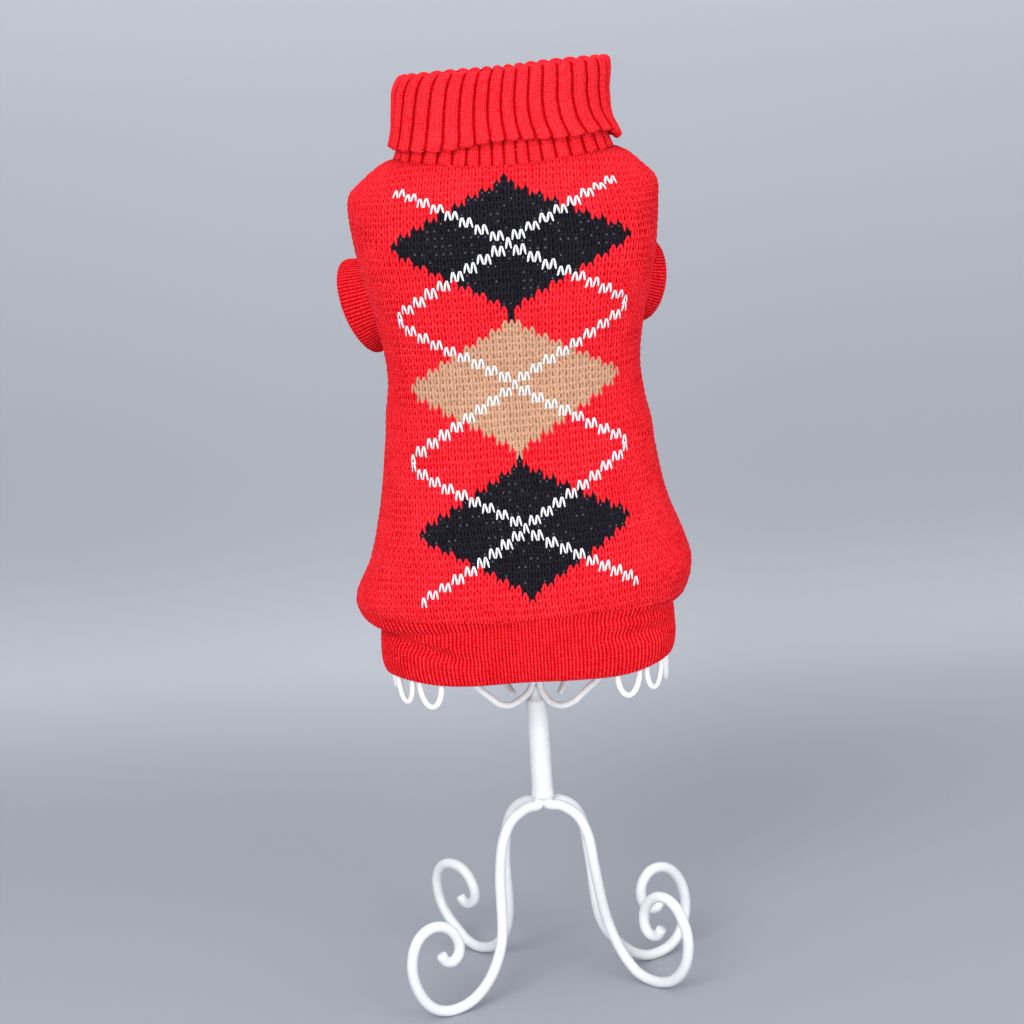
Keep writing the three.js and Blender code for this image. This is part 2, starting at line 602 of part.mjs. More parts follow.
// The upright wires follow the cloth from inside, but not out into the swell above the hem.
const UPRIGHTS = [30, 84, 150, -150, -84, -30];
const UPRIGHT_HEIGHTS = [285, 305, 325, 345, 365, 384, 400, 412];
const UPRIGHT_TURN = { z: 434, depth: 4 }; // where it turns in under the shoulder, and how much deeper it is there
const NECK_RING = { z: 498, half: 47.6, fore: 29.8, aft: 28.0, shift: 1.6 };

function buildUpright(deg, index) {
  const angle = rad(deg);
  const depth = CLOTH + WIRE_CLEARANCE + WIRE.form;
  const foot = hoopPoint(HOOP, angle, 0.8).setZ(HOOP.z + WIRE.arm + SEAM_GAP);
  const lower = hoopPoint(HOOP, angle, 0.8).setZ(234);
  const neck = (z) => hoopPoint({ ...NECK_RING, z }, angle);
  const line = smoothLine(
    [
      foot,
      lower,
      ...UPRIGHT_HEIGHTS.map((z) => bodyInset(angle, rowAt(z), depth)),
      bodyInset(angle, rowAt(UPRIGHT_TURN.z), depth + UPRIGHT_TURN.depth),
      neck(449),
      neck(466),
      neck(482),
      neck(NECK_RING.z - WIRE.form * 2 - SEAM_GAP),
    ],
    22,
  );
  const sideways = vec(Math.cos(angle), Math.sin(angle), 0);
  add(`upright_${index + 1}`, rod(line, WIRE.form, 5, sideways), PAINT);
}

function buildForm() {
  add("hem_hoop", ringOf((a) => hoopPoint(HOOP, a), 30, WIRE.arm), PAINT);
  add("neck_ring", ringOf((a) => hoopPoint(NECK_RING, a), 24, WIRE.form), PAINT);
  for (const ring of RINGS) {
    const inside = CLOTH + WIRE_CLEARANCE + WIRE.form + WELD + ring.ease;
    add(ring.name, ringOf((a) => bodyInset(a, rowAt(ring.z), inside).setZ(ring.z), 26, WIRE.form), PAINT);
  }
  UPRIGHTS.forEach(buildUpright);
  LOOPS.forEach(buildLoop);
  ARMS.forEach(buildArm);
}

buildBody();
buildCollar();
buildHem();
CUFFS.forEach(buildCuff);
buildStand();
buildForm();

// The part stands on the floor with the middle of its bounding box over the origin.
const box = new THREE.Box3().setFromObject(part);
part.position.set(-(box.min.x + box.max.x) / 2, -(box.min.y + box.max.y) / 2, -box.min.z);

export default part;
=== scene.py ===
# A knitted dog sweater with a roll collar on a small wire dress form: its stitches, ribs, yarn and painted wire.
import math

import bpy
import numpy as np
from mathutils import Matrix, Vector


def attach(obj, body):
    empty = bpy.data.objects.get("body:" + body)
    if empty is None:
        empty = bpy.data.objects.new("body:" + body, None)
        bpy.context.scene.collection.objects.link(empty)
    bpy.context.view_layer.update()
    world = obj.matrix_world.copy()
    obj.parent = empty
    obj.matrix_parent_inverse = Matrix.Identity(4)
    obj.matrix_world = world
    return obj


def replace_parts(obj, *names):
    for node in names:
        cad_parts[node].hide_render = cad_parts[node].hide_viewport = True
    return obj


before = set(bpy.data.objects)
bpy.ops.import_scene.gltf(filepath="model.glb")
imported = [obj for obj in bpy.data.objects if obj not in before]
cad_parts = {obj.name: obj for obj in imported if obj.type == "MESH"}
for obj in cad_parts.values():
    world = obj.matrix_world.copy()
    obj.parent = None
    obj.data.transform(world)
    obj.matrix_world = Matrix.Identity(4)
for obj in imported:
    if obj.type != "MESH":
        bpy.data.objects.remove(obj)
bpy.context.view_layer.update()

# Lengths below are millimetres, as in the part's source. Meshes are written in metres.
SHIFT = np.array([2.2397, -4.5521, -0.0108])  # from the source's own zero to the shared frame
CLOTH = 2.3
SECTION_POWER = 2.3  # 2 is an ellipse, more is a squarer section
SEAM_TURN = math.radians(105)  # where the back panel is sewn to the belly panel
HEM_SHIFT = -2.4


def table(names, rows):
    """Named columns from rows of numbers."""
    return dict(zip(names.split(), np.array(rows, float).T))


# Sections of the body from the neck down: heights at the sides, the argyle side and the belly, half width, depth
# towards each side, and sideways shift.
BODY = table("side front belly half fore aft shift", [
    (465.5, 462.0, 466.0, 54.0, 36.0, 34.0, 0.5), (463.0, 457.0, 462.5, 63.6, 41.0, 38.0, 0.3),
    (454.4, 449.0, 454.8, 74.5, 46.5, 42.5, -0.6), (447.0, 440.0, 447.0, 81.0, 50.0, 45.5, -1.0),
    (434.0, 429.0, 434.5, 81.3, 52.0, 47.5, -1.2), (408.0, 407.0, 408.0, 78.0, 52.2, 48.6, -0.8),
    (380.0, 379.5, 380.0, 71.4, 49.2, 46.2, -0.8), (350.0, 350.0, 350.0, 67.4, 46.6, 43.6, -1.0),
    (315.0, 315.0, 315.5, 71.6, 48.2, 44.5, -0.8), (282.0, 282.5, 284.0, 76.8, 51.4, 47.5, -0.6),
    (256.0, 257.5, 260.0, 84.2, 54.8, 51.0, -0.1), (236.5, 239.0, 243.5, 91.4, 56.8, 53.4, -2.8),
    (222.5, 227.0, 232.5, 87.0, 55.7, 52.0, -2.4), (217.4, 222.0, 228.2, 80.0, 54.6, 49.8, -2.4)])
BODY_END = len(BODY["side"]) - 1
SWELL = dict(z=236, wide=24, tilt=5)

# Soft troughs and ridges: angle round the body, height, half length in degrees, half width, slope and depth.
FOLDS = [
    (-55, 210.2, 24, 3.2, 0.27, -3.4), (-70, 219, 16, 4, 0.2, 1.0), (54, 210.5, 20, 3.6, 0.03, -2.2),
    (52, 218, 20, 3.6, 0.05, 1.2), (16, 206, 14, 5, -0.3, -0.6),
    (-58, 262, 22, 9, -0.35, 0.9), (60, 268, 24, 8, 0.3, 0.9), (-84, 330, 14, 9, 0.5, 0.8),
    (82, 318, 14, 8, -0.4, 0.8), (-62, 441, 12, 7, -0.3, 1.0), (60, 438, 12, 7, 0.3, 1.0),
    (150, 300, 16, 9, 0.4, 0.8), (-148, 340, 14, 9, -0.4, 0.8), (180, 262, 26, 6, 0, 0.9)]


def along(column, row):
    """A table column between its rows: the cubic whose slope at each row is half the difference of its neighbours."""
    last = len(column) - 1
    at = np.clip(row, 0, last)
    i = np.minimum(at.astype(int), last - 1)
    t = at - i
    a, b, c, d = (column[np.clip(i + k, 0, last)] for k in (-1, 0, 1, 2))
    return (b * (2 * t**3 - 3 * t**2 + 1) + (c - a) / 2 * (t**3 - 2 * t**2 + t)
            + c * (3 * t**2 - 2 * t**3) + (d - b) / 2 * (t**3 - t**2))


def reach(turn, half, fore, aft):
    """Distance from the middle to a rounded section: the sum of the two shares, each to the section's power, is one."""
    c, s = np.cos(turn), np.sin(turn)
    deep = np.where(c > 0, fore, aft)
    return (np.abs(c / deep) ** SECTION_POWER + np.abs(s / half) ** SECTION_POWER) ** (-1 / SECTION_POWER)


def level(turn, side, front, belly):
    """Height that goes from the sides' value to the front's or the belly's with the square of the cosine."""
    c = np.cos(turn)
    return side + (np.where(c > 0, front, belly) - side) * c * c


def off_from(turn, deg):
    """Degrees round a piece from deg to an angle, between -180 and 180."""
    return (np.degrees(turn) - deg + 180) % 360 - 180


def waves(turn, rows):
    """Sum of bell curves round a piece, from rows of an angle, a width in degrees and a height."""
    return sum(high * np.exp(-(off_from(turn, deg) / wide) ** 2) for deg, wide, high in rows)


def fold(turn, z):
    """Sum of the folds, each a bell curve across and along its own line."""
    total = 0
    for deg, at, long, wide, slope, deep in FOLDS:
        off = off_from(turn, deg)
        total = total + deep * np.exp(-(off / long) ** 2 - ((z - at + slope * off) / wide) ** 2)
    return total


def polar(turn, r, shift, z):
    """Points at a distance r from a middle that is moved sideways, with turn 0 on the argyle side."""
    turn, r, shift, z = np.broadcast_arrays(turn, r, shift, z)
    return np.stack([shift + r * np.sin(turn), -r * np.cos(turn), z], -1)


def body_face(turn, row):
    """The body's outer face: the section of that row, tilted in the swell above the hem, and moved by the folds."""
    s = {key: along(column, row) for key, column in BODY.items()}
    side = s["side"] + SWELL["tilt"] * np.sin(turn) * np.exp(-((s["side"] - SWELL["z"]) / SWELL["wide"]) ** 2)
    z = level(turn, side, s["front"], s["belly"])
    return polar(turn, reach(turn, s["half"], s["fore"], s["aft"]) + fold(turn, z), s["shift"], z)


def unit(v):
    return v / np.linalg.norm(v, axis=-1, keepdims=True)


def outward(surface, turn, row, end):
    """Outward normals of a surface, from the cross product of its two differences."""
    across = surface(turn + 0.01, row) - surface(turn - 0.01, row)
    down = surface(turn, np.minimum(row + 0.04, end)) - surface(turn, np.maximum(row - 0.04, 0))
    return unit(np.cross(down, across))


def row_at(z):
    """The body row whose height at the sides is z."""
    rows = np.linspace(0, BODY_END, 1301)
    return np.interp(-z, -along(BODY["side"], rows), rows)


# Heights round the body at which the plain knitting ends and the hem band starts.
HEM_START = table("deg z", [
    (-180, 231.6), (-140, 230), (-105, 227), (-76, 226.7), (-50, 225.3), (-14, 224.7), (18, 225.8), (36, 226.7),
    (54, 225.4), (68, 224.4), (85, 225), (105, 226.5), (140, 230), (180, 231.6)])


def start_rows():
    """Angles round the body, and the body's row at the hem band's start for each."""
    turns = np.radians(np.linspace(-180, 180, 361))
    rows = np.linspace(BODY_END - 2.6, BODY_END, 105)
    z = body_face(turns[:, None], rows[None, :])[..., 2]
    start = np.interp(np.degrees(turns), HEM_START["deg"], HEM_START["z"])
    return turns, np.array([np.interp(-s, -line, rows) for s, line in zip(start, z)])


HEM_TURNS, HEM_ROWS = start_rows()


def hem_row(turn):
    """The body's row at which the hem band starts."""
    return np.interp((turn + math.pi) % (2 * math.pi) - math.pi, HEM_TURNS, HEM_ROWS)


def body_inside(turn, row, depth):
    """Points a depth under the body's outer face."""
    turn, row = np.broadcast_arrays(np.asarray(turn, float), row)
    return body_face(turn, row) - depth * outward(body_face, turn, row, BODY_END)


def path_length(points):
    """Running length along the second-last axis of points, from zero."""
    steps = np.linalg.norm(np.diff(points, axis=-2), axis=-1)
    return np.concatenate([np.zeros(steps.shape[:-1] + (1,)), np.cumsum(steps, -1)], -1)


# ---- Meshes ----

def new_piece(name, points, faces, uvs, material, smooth=True):
    """A mesh object from points in millimetres, arrays of quads or triangles, and a UV for each of their corners."""
    corners = np.concatenate([f.ravel() for f in faces])
    sizes = np.concatenate([np.full(len(f), f.shape[1]) for f in faces])
    mesh = bpy.data.meshes.new(name)
    mesh.vertices.add(len(points))
    mesh.vertices.foreach_set("co", ((points + SHIFT) / 1000).astype(np.float32).ravel())
    mesh.loops.add(len(corners))
    mesh.loops.foreach_set("vertex_index", corners.astype(np.int32))
    mesh.polygons.add(len(sizes))
    mesh.polygons.foreach_set("loop_start", np.concatenate([[0], np.cumsum(sizes)[:-1]]).astype(np.int32))
    mesh.update(calc_edges=True)
    layer = mesh.uv_layers.new(name="stitches")
    layer.data.foreach_set("uv", np.concatenate([u.reshape(-1, 2) for u in uvs]).astype(np.float32).ravel())
    mesh.polygons.foreach_set("use_smooth", np.full(len(sizes), smooth))
    mesh.materials.append(material)
    obj = bpy.data.objects.new(name, mesh)
    bpy.context.scene.collection.objects.link(obj)
    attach(obj, "root")
    return obj


def ring_wall(name, points, u, v, material):
    """A wall of loops of points, each joined to the next and the last to the first. u and v are the UVs of the loops'
    columns and rows, with one more of each than there are, for the closing faces."""
    rows, cols = points.shape[:2]
    i, j = (k.ravel() for k in np.meshgrid(np.arange(rows), np.arange(cols), indexing="ij"))
    i1, j1 = (i + 1) % rows, (j + 1) % cols
    quads = np.stack([i * cols + j, i1 * cols + j, i1 * cols + j1, i * cols + j1], 1)
    uv = np.stack([np.stack([u[a], v[b]], -1) for a, b in ((j, i), (j, i + 1), (j + 1, i + 1), (j + 1, i))], 1)
    return new_piece(name, points.reshape(-1, 3), [quads], [uv], material)


# ---- Stitches ----

LEG_AT, LEG_SPREAD, LEG_WIDE = 0.10, 0.21, 0.18  # where a stitch's legs start, how they spread, and how wide they are
ROW_BEAT, ROW_PHASE = 0.12, 0.033  # taken off, so that the rows don't stand out as ridges


def step(x, low, high):
    """A smooth rise from 0 at low to 1 at high."""
    t = np.clip((x - low) / (high - low), 0, 1)
    return t * t * (3 - 2 * t)


def stitch_height(u, v):
    """Relief of plain knitting upside down, one stitch to a unit square. Each stitch is two legs that leave its top
    together and spread downwards, a bell curve across each leg, and the highest leg shows. A cosine levels the rows."""
    off = np.abs(u - np.floor(u) - 0.5)
    best = np.zeros(np.broadcast(u, v).shape)
    for k in (-1, 0, 1):
        down = v - np.floor(v) + k
        leg = np.exp(-((off - LEG_AT - LEG_SPREAD * (down + 0.2)) / LEG_WIDE) ** 2)
        best = np.maximum(best, leg * step(down, -0.35, -0.1) * (1 - step(down, 1.0, 1.35)))
    return best - ROW_BEAT * np.cos(2 * math.pi * (v + ROW_PHASE))


# The argyle's three diamonds are centred on rows 11, 30 and 49.
FIRST_ROW, CYCLE = 11, 19
DIAMOND_HEIGHTS = (423.7, 350.2, 274.5)  # where their middles lie on the body
DIAMOND_HALF = 16  # wales from a diamond's middle wale to its side corner
LACE_TURN = 17  # the white line turns back at this wale
LACE_ABOVE, LACE_BELOW = 8, 9  # rows that the white line runs past the first and the last middle


def laced(wale, row):
    """1 on the stitches of the white line: two wales further out with each row from a diamond's middle."""
    d = np.abs((row - FIRST_ROW + CYCLE / 2) % CYCLE - CYCLE / 2)
    w = np.abs(wale)
    on = (w > 2 * d - 1.5) & (w < np.minimum(2 * d + 0.5, LACE_TURN + 0.5))
    return on & (row >= FIRST_ROW - LACE_ABOVE) & (row <= FIRST_ROW + 2 * CYCLE + LACE_BELOW)


def front_rows():
    """Table rows and rows of stitches along the middle of the argyle side. Stitches are counted by length along the
    cloth, so that the three diamonds' middles fall on their measured heights."""
    rows = np.linspace(0, BODY_END, 2601)
    line = body_face(np.zeros_like(rows), rows)
    length = path_length(line)
    at = np.interp([-z for z in DIAMOND_HEIGHTS], -line[:, 2], length)
    marks = FIRST_ROW + 0.5 + CYCLE * np.arange(3)
    pitch = np.diff(at) / CYCLE
    count = np.interp(length, at, marks)
    count = np.where(length < at[0], marks[0] - (at[0] - length) / pitch[0], count)
    count = np.where(length > at[2], marks[2] + (length - at[2]) / pitch[1], count)
    return rows, count


# How the chart lies on the cloth, by rows of stitches. The rows hang lower at the sides than the body's own level
# lines do, by so many rows at the edge of the argyle, and the wales are wider towards the sides.
HANG = table("row middle left right", [
    (-4, 0.5, 2.5, 2.4), (3.5, 0.45, 2.2, 2.2), (11.5, 0.15, 0.7, 0.93), (21, 0.25, 0.72, 0.35),
    (30.5, 0.13, 0.6, 0.05), (40, 0.25, 0.85, -0.05), (49.5, 0.06, 0.5, -0.4), (58.5, 0.2, -0.25, -0.25),
    (66, 0.2, -0.3, -0.3)])
WALES = table("row shift middle left right", [
    (-4, -0.5, 3.6, 3.4, 3.6), (3.5, -0.3, 3.65, 3.5, 3.66), (11.5, 0.9, 3.66, 3.8, 4.1), (21, -0.2, 3.4, 3.55, 3.7),
    (30.5, -0.4, 3.22, 3.5, 3.55), (40, -0.6, 3.25, 3.42, 3.43), (49.5, 0.2, 3.31, 3.53, 3.44),
    (58.5, 3.4, 3.36, 3.4, 3.3), (66, 4.4, 3.4, 3.4, 3.3)])
WIDE_AT = 17  # wales from the middle where the sides' widths count in full
WALE_TURN, HANG_TURN = math.radians(3.4), math.radians(55)  # a wale's share of a turn, and where the hang is whole


def between(rows, key, v):
    return np.interp(v, rows["row"], rows[key])


def chart_place(s, v):
    """Row of the body's table, and length along the section from its middle, for a wale and a row of stitches."""
    side = np.where(s < 0, between(HANG, "left", v), between(HANG, "right", v))
    share = (np.sin(np.minimum(np.abs(s) * WALE_TURN, math.pi / 2)) / math.sin(HANG_TURN)) ** 2
    hang = between(HANG, "middle", v) * (1 - share) + side * share
    row = np.interp(v + hang, FRONT_V, FRONT_ROWS)
    wide = np.where(s < 0, between(WALES, "left", v), between(WALES, "right", v))
    middle = between(WALES, "middle", v)
    far = np.where(np.abs(s) < WIDE_AT, s * np.abs(s) / WIDE_AT, s)
    inside = (v + hang > FRONT_V[0]) & (v + hang < FRONT_V[-1])
    return row, between(WALES, "shift", v) + middle * s + (wide - middle) * far, inside


FRONT_ROWS, FRONT_V = front_rows()


CUFFS = [
    dict(name="cuff_left", sign=-1, deg=110, z=389.4, yaw=36, down=15, reach=19, tall=26.8, broad=17, lean=-10),
    dict(name="cuff_right", sign=1, deg=113, z=392.2, yaw=44, down=13, reach=15, tall=22.5, broad=16, lean=0)]
CUFF_SHRINK = 0.9  # a cuff's half sizes at its root, as a share of those at its mouth
HOLE_INSET = 1.2  # the leg hole's edge lies this far inside the cuff's root
HOLE_DEPTH = 30  # and only cloth this near to the cuff's middle is cut


def cuff_frame(cuff):
    """A cuff's middle on the body, its axis and the two directions across it."""
    middle = body_inside(cuff["sign"] * math.radians(cuff["deg"]), row_at(cuff["z"]), CLOTH / 2)
    yaw, down = math.radians(cuff["yaw"]), math.radians(cuff["down"])
    axis = np.array([cuff["sign"] * math.cos(yaw) * math.cos(down), math.sin(yaw) * math.cos(down), -math.sin(down)])
    across = unit(np.cross([0, 0, 1], axis))
    up, lean = np.cross(axis, across), math.radians(cuff["lean"])
    return middle, axis, across * math.cos(lean) + up * math.sin(lean), up * math.cos(lean) - across * math.sin(lean)


def leg_hole_share(cuff, points):
    """How far points are from a cuff's axis, as a share of the leg hole's own half sizes."""
    middle, axis, across, up = cuff_frame(cuff)
    away = points - middle
    x, y, s = away @ across, away @ up, away @ axis
    a, b = cuff["broad"] * CUFF_SHRINK - HOLE_INSET, cuff["tall"] * CUFF_SHRINK - HOLE_INSET
    share = np.sqrt((x / a) ** 2 + (y / b) ** 2)
    return np.where(np.abs(s) < HOLE_DEPTH, share, np.inf)


def open_leg_hole(cuff, points):
    """Points inside the leg hole are moved out to its edge, straight away from the cuff's axis."""
    middle, axis, _, _ = cuff_frame(cuff)
    share = leg_hole_share(cuff, points)[..., None]
    away = points - middle
    flat = away - (away @ axis)[..., None] * axis
    return np.where(share < 1, points + flat * (1 / np.maximum(share, 0.05) - 1), points)


PER = 4  # points to a stitch each way
ARC_ROWS, ARC_TURNS, ARC_REACH, ARC_PER = 520, 360, 190, 2  # steps of section_turns' table, its reach, and steps per mm
SEAM_GAP, SEAM_SINK, SEAM_WIDE = 0.2, 1.3, 1.5  # half the gap at a side seam, and how deep and wide the cloth rolls in
PANEL_RELIEF, PANEL_SINK, LACE_RAISED = 0.8, 0.45, 0.25  # a stitch's relief, its base under the face, the white line's


def wander(u, v, seed, size):
    """A slow random shift over the stitches: numbers drawn on a coarse grid and joined by smooth steps."""
    random = np.random.RandomState(seed)
    grid = random.uniform(-size, size, (64, 64))
    x, y = (np.asarray(u) / 2.3) % 64, (np.asarray(v) / 1.7) % 64
    i, j = x.astype(int), y.astype(int)
    a, b = x - i, y - j
    a, b = a * a * (3 - 2 * a), b * b * (3 - 2 * b)
    top = grid[i % 64, j % 64] * (1 - a) + grid[(i + 1) % 64, j % 64] * a
    low = grid[i % 64, (j + 1) % 64] * (1 - a) + grid[(i + 1) % 64, (j + 1) % 64] * a
    return top * (1 - b) + low * b


def section_turns(half_turn, middle):
    """A table of angles by the body's rows and by length along the section, and each row's two ends."""
    rows = np.linspace(0, BODY_END, ARC_ROWS + 1)
    turns = np.linspace(-half_turn, half_turn, ARC_TURNS + 1)
    length = path_length(body_face(middle + turns[None], rows[:, None] * np.ones((1, ARC_TURNS + 1))))
    length = length - length[:, ARC_TURNS // 2, None]
    spread = np.linspace(-ARC_REACH, ARC_REACH, 2 * ARC_REACH * ARC_PER + 1)
    return np.stack([np.interp(spread, line, turns) for line in length]), length[:, 0], length[:, -1]


def panel(name, middle, wales, material, lace):
    """A panel of the body, knitted: a grid of four points to a stitch each way on the outer face, trimmed at the side
    seams, the ends and the leg holes, and a plain inner face with half as many."""
    half_turn = SEAM_TURN if middle == 0 else math.pi - SEAM_TURN
    angles, low_end, high_end = section_turns(half_turn, middle)
    first, last = math.floor(FRONT_V[0] * PER) - 12, math.ceil(FRONT_V[-1] * PER) + 2
    last += (last - first) % 2
    s, v = np.meshgrid(np.arange(-wales * PER, wales * PER + 1) / PER, np.arange(first, last + 1) / PER)
    if lace:
        row, arc, inside_v = chart_place(s, v)
    else:
        row, inside_v = np.interp(v, FRONT_V, FRONT_ROWS), (v > FRONT_V[0]) & (v < FRONT_V[-1])
        arc = s * between(WALES, "middle", v)
    at = row / BODY_END * ARC_ROWS
    low = np.interp(at, np.arange(ARC_ROWS + 1), low_end) + SEAM_GAP
    high = np.interp(at, np.arange(ARC_ROWS + 1), high_end) - SEAM_GAP
    within = (arc > low) & (arc < high) & inside_v
    arc = np.clip(arc, low, high)
    i, x = np.minimum(at.astype(int), ARC_ROWS - 1), (arc + ARC_REACH) * ARC_PER
    j = x.astype(int)
    turn = middle + sum(
        angles[i + a, j + b] * np.abs(1 - a - (at - i)) * np.abs(1 - b - (x - j)) for a in (0, 1) for b in (0, 1))
    within &= row < hem_row(turn)
    row = np.minimum(row, hem_row(turn))
    face = body_face(turn, row)
    normal = outward(body_face, turn, row, BODY_END)
    u, v = s + 0.5 + wander(s, v, 3, 0.07), v + wander(s, v, 4, 0.13)
    relief = PANEL_RELIEF * stitch_height(u, v) - PANEL_SINK + wander(s * 2, v * 2, 5, 0.12)
    if lace:
        relief = relief + LACE_RAISED * laced(np.floor(u), np.floor(v))
    relief = relief - SEAM_SINK * np.exp(-(np.minimum(arc - low, high - arc) / SEAM_WIDE) ** 2)
    outer = face + normal * relief[..., None]
    inner = (face - normal * CLOTH)[::2, ::2]
    inside = np.minimum(*[leg_hole_share(c, face[::2, ::2]) for c in CUFFS]) < 1

    def any_corner(mask):
        return mask[:-1, :-1] | mask[1:, :-1] | mask[:-1, 1:] | mask[1:, 1:]

    kept = any_corner(within[::2, ::2]) & any_corner(~inside)
    for cuff in CUFFS:
        outer, inner = open_leg_hole(cuff, outer), open_leg_hole(cuff, inner)
    n, m = outer.shape[1], inner.shape[1]
    F = np.arange(outer.shape[0] * n).reshape(-1, n)
    G = F.size + np.arange(inner.shape[0] * m).reshape(-1, m)
    fine = np.repeat(np.repeat(kept, 2, 0), 2, 1)
    quads = np.stack([F[:-1, :-1], F[1:, :-1], F[1:, 1:], F[:-1, 1:]], -1)[fine]
    back = np.stack([G[:-1, :-1], G[:-1, 1:], G[1:, 1:], G[1:, :-1]], -1)[kept]
    # Strips that close the edges, three triangles to an edge of the coarser grid.
    pad = np.pad(kept, 1)
    tl, ml, bl = F[:-2:2, :-2:2], F[1:-1:2, :-2:2], F[2::2, :-2:2]
    tr, mr, br = F[:-2:2, 2::2], F[1:-1:2, 2::2], F[2::2, 2::2]
    mt, mb = F[:-2:2, 1:-1:2], F[2::2, 1:-1:2]
    gtl, gbl, gtr, gbr = G[:-1, :-1], G[1:, :-1], G[:-1, 1:], G[1:, 1:]
    strips = []
    for open_side, a, mid, b, ga, gb in (
            (~pad[1:-1, :-2], tl, ml, bl, gtl, gbl), (~pad[2:, 1:-1], bl, mb, br, gbl, gbr),
            (~pad[1:-1, 2:], br, mr, tr, gbr, gtr), (~pad[:-2, 1:-1], tr, mt, tl, gtr, gtl)):
        edge = kept & open_side
        strips += [np.stack(f, -1)[edge] for f in ((mid, a, ga), (b, mid, gb), (mid, ga, gb))]
    strips = np.concatenate(strips)
    points = np.concatenate([outer.reshape(-1, 3), inner.reshape(-1, 3)])
    uv = np.stack([u, v], -1)
    uv = np.concatenate([uv.reshape(-1, 2), uv[::2, ::2].reshape(-1, 2)])
    used, faces = np.unique(np.concatenate([quads.ravel(), back.ravel(), strips.ravel()]), return_inverse=True)
    a, b = quads.size, quads.size + back.size
    faces = [faces[:a].reshape(-1, 4), faces[a:b].reshape(-1, 4), faces[b:].reshape(-1, 3)]
    return new_piece(name, points[used], faces, [uv[used][f] for f in faces], material)


# ---- Ribbed pieces ----

COLLAR = table("z half fore aft shift", [
    (465.8, 51.4, 33.4, 31.4, 0.5), (485.0, 50.4, 32.4, 30.6, 0.8), (504.8, 49.8, 32.6, 30.8, 2.4),
    (508.2, 51.2, 34.2, 32.4, 3.0), (509.4, 53.0, 36.2, 34.4, 3.2), (508.0, 55.4, 38.4, 36.6, 3.2),
    (502.0, 57.0, 39.4, 37.6, 2.0), (491.0, 57.2, 39.2, 37.2, 0.7), (480.5, 57.9, 40.0, 38.0, 0.7),
    (472.8, 59.8, 41.4, 39.4, 1.6), (468.9, 60.9, 42.4, 40.4, 1.8), (468.7, 58.2, 39.6, 37.6, 1.6),
    (482.0, 55.0, 37.2, 35.2, 0.8), (504.6, 53.4, 35.9, 34.1, 2.4), (480.0, 53.4, 35.4, 33.6, 0.8),
    (465.2, 57.6, 38.4, 36.2, 0.6)])
COLLAR_TOP, COLLAR_FALL, COLLAR_FAN = 509.4, 42, math.radians(6)
# The turned part's edge: angle, width in degrees and how much higher it is there.
COLLAR_WAVES = [(-50, 24, -2.6), (8, 30, 1.6), (62, 17, 2.8), (95, 16, -3.4), (165, 50, 1.8)]
COLLAR_LIFT = 4.4  # the turned part's edge is this much higher than its section
COLLAR_TILT = 2.4  # and its top rises to the right
COLLAR_RIBS = 38
COLLAR_BACK_RISE = -4.9  # the neck's foot on the argyle side, against its sides
COLLAR_RELIEF, COLLAR_SINK = 2.0, 1.5  # how far a rib stands up, and its base under the section


def collar_face(turn, at):
    """The collar's section carried round the neck, with at running from 0 inside the neck, over the top at 4, down the
    turned part to 11, up between the layers to 13 and down the neck's own outside to 15. The turned part's ribs fan
    out and its edge waves."""
    s = {key: along(column, at) for key, column in COLLAR.items()}
    turned_down = step(at, 2, 3) * (1 - step(at, 13, 14))
    fall = np.clip((COLLAR_TOP - s["z"]) / COLLAR_FALL, 0, 1) * turned_down
    turn = turn + COLLAR_FAN * np.sin(turn) * fall
    wave = waves(turn, COLLAR_WAVES)
    rise = level(turn, 0, COLLAR_BACK_RISE, 0) * (1 - turned_down) * step(-s["z"], -480, -467)
    crest = np.exp(-((at - 4.5) / 2.6) ** 2) * COLLAR_TILT * np.sin(turn + math.radians(12))
    z = s["z"] + (wave + COLLAR_LIFT) * fall**2 + rise + np.where(crest > 0, crest, crest * 0.6)
    return polar(turn, reach(turn, s["half"], s["fore"], s["aft"]), s["shift"], z)


RIB_POWER, RIB_WALES, RIB_HALF = 0.7, 3, 0.42  # a rib's roundness, its plain wales, and half the width they take


def rib_broad(u, v):
    """A broad rib, one to a unit: a power of the cosine, with plain wales side by side on it."""
    across = u - np.floor(u) - 0.5
    dome = np.clip(np.cos(math.pi * across), 0, 1) ** RIB_POWER
    wale = np.clip(across / RIB_HALF / 2 + 0.5, 0, 0.999) * RIB_WALES
    return dome * (0.72 + 0.28 * stitch_height(wale, v))


HEM_RELIEF, CUFF_RELIEF, FINE_SINK = 0.66, 0.65, 0.4  # how far fine ribs stand up, and their base under the face
FINE_POWER, FINE_SLANT = 1.5, 0.9  # a fine rib's sharpness, and how many rows its stitches slant across it


def rib_fine(u, v):
    """A fine rib: each plain wale stands out in a narrow round ridge of stitches with a groove as wide beside it."""
    off = np.abs(u - np.floor(u) - 0.5)
    ridge = np.clip(np.cos(math.pi * off), 0, 1) ** FINE_POWER
    return ridge * (0.84 + 0.16 * np.cos(2 * math.pi * (v + off * FINE_SLANT)))


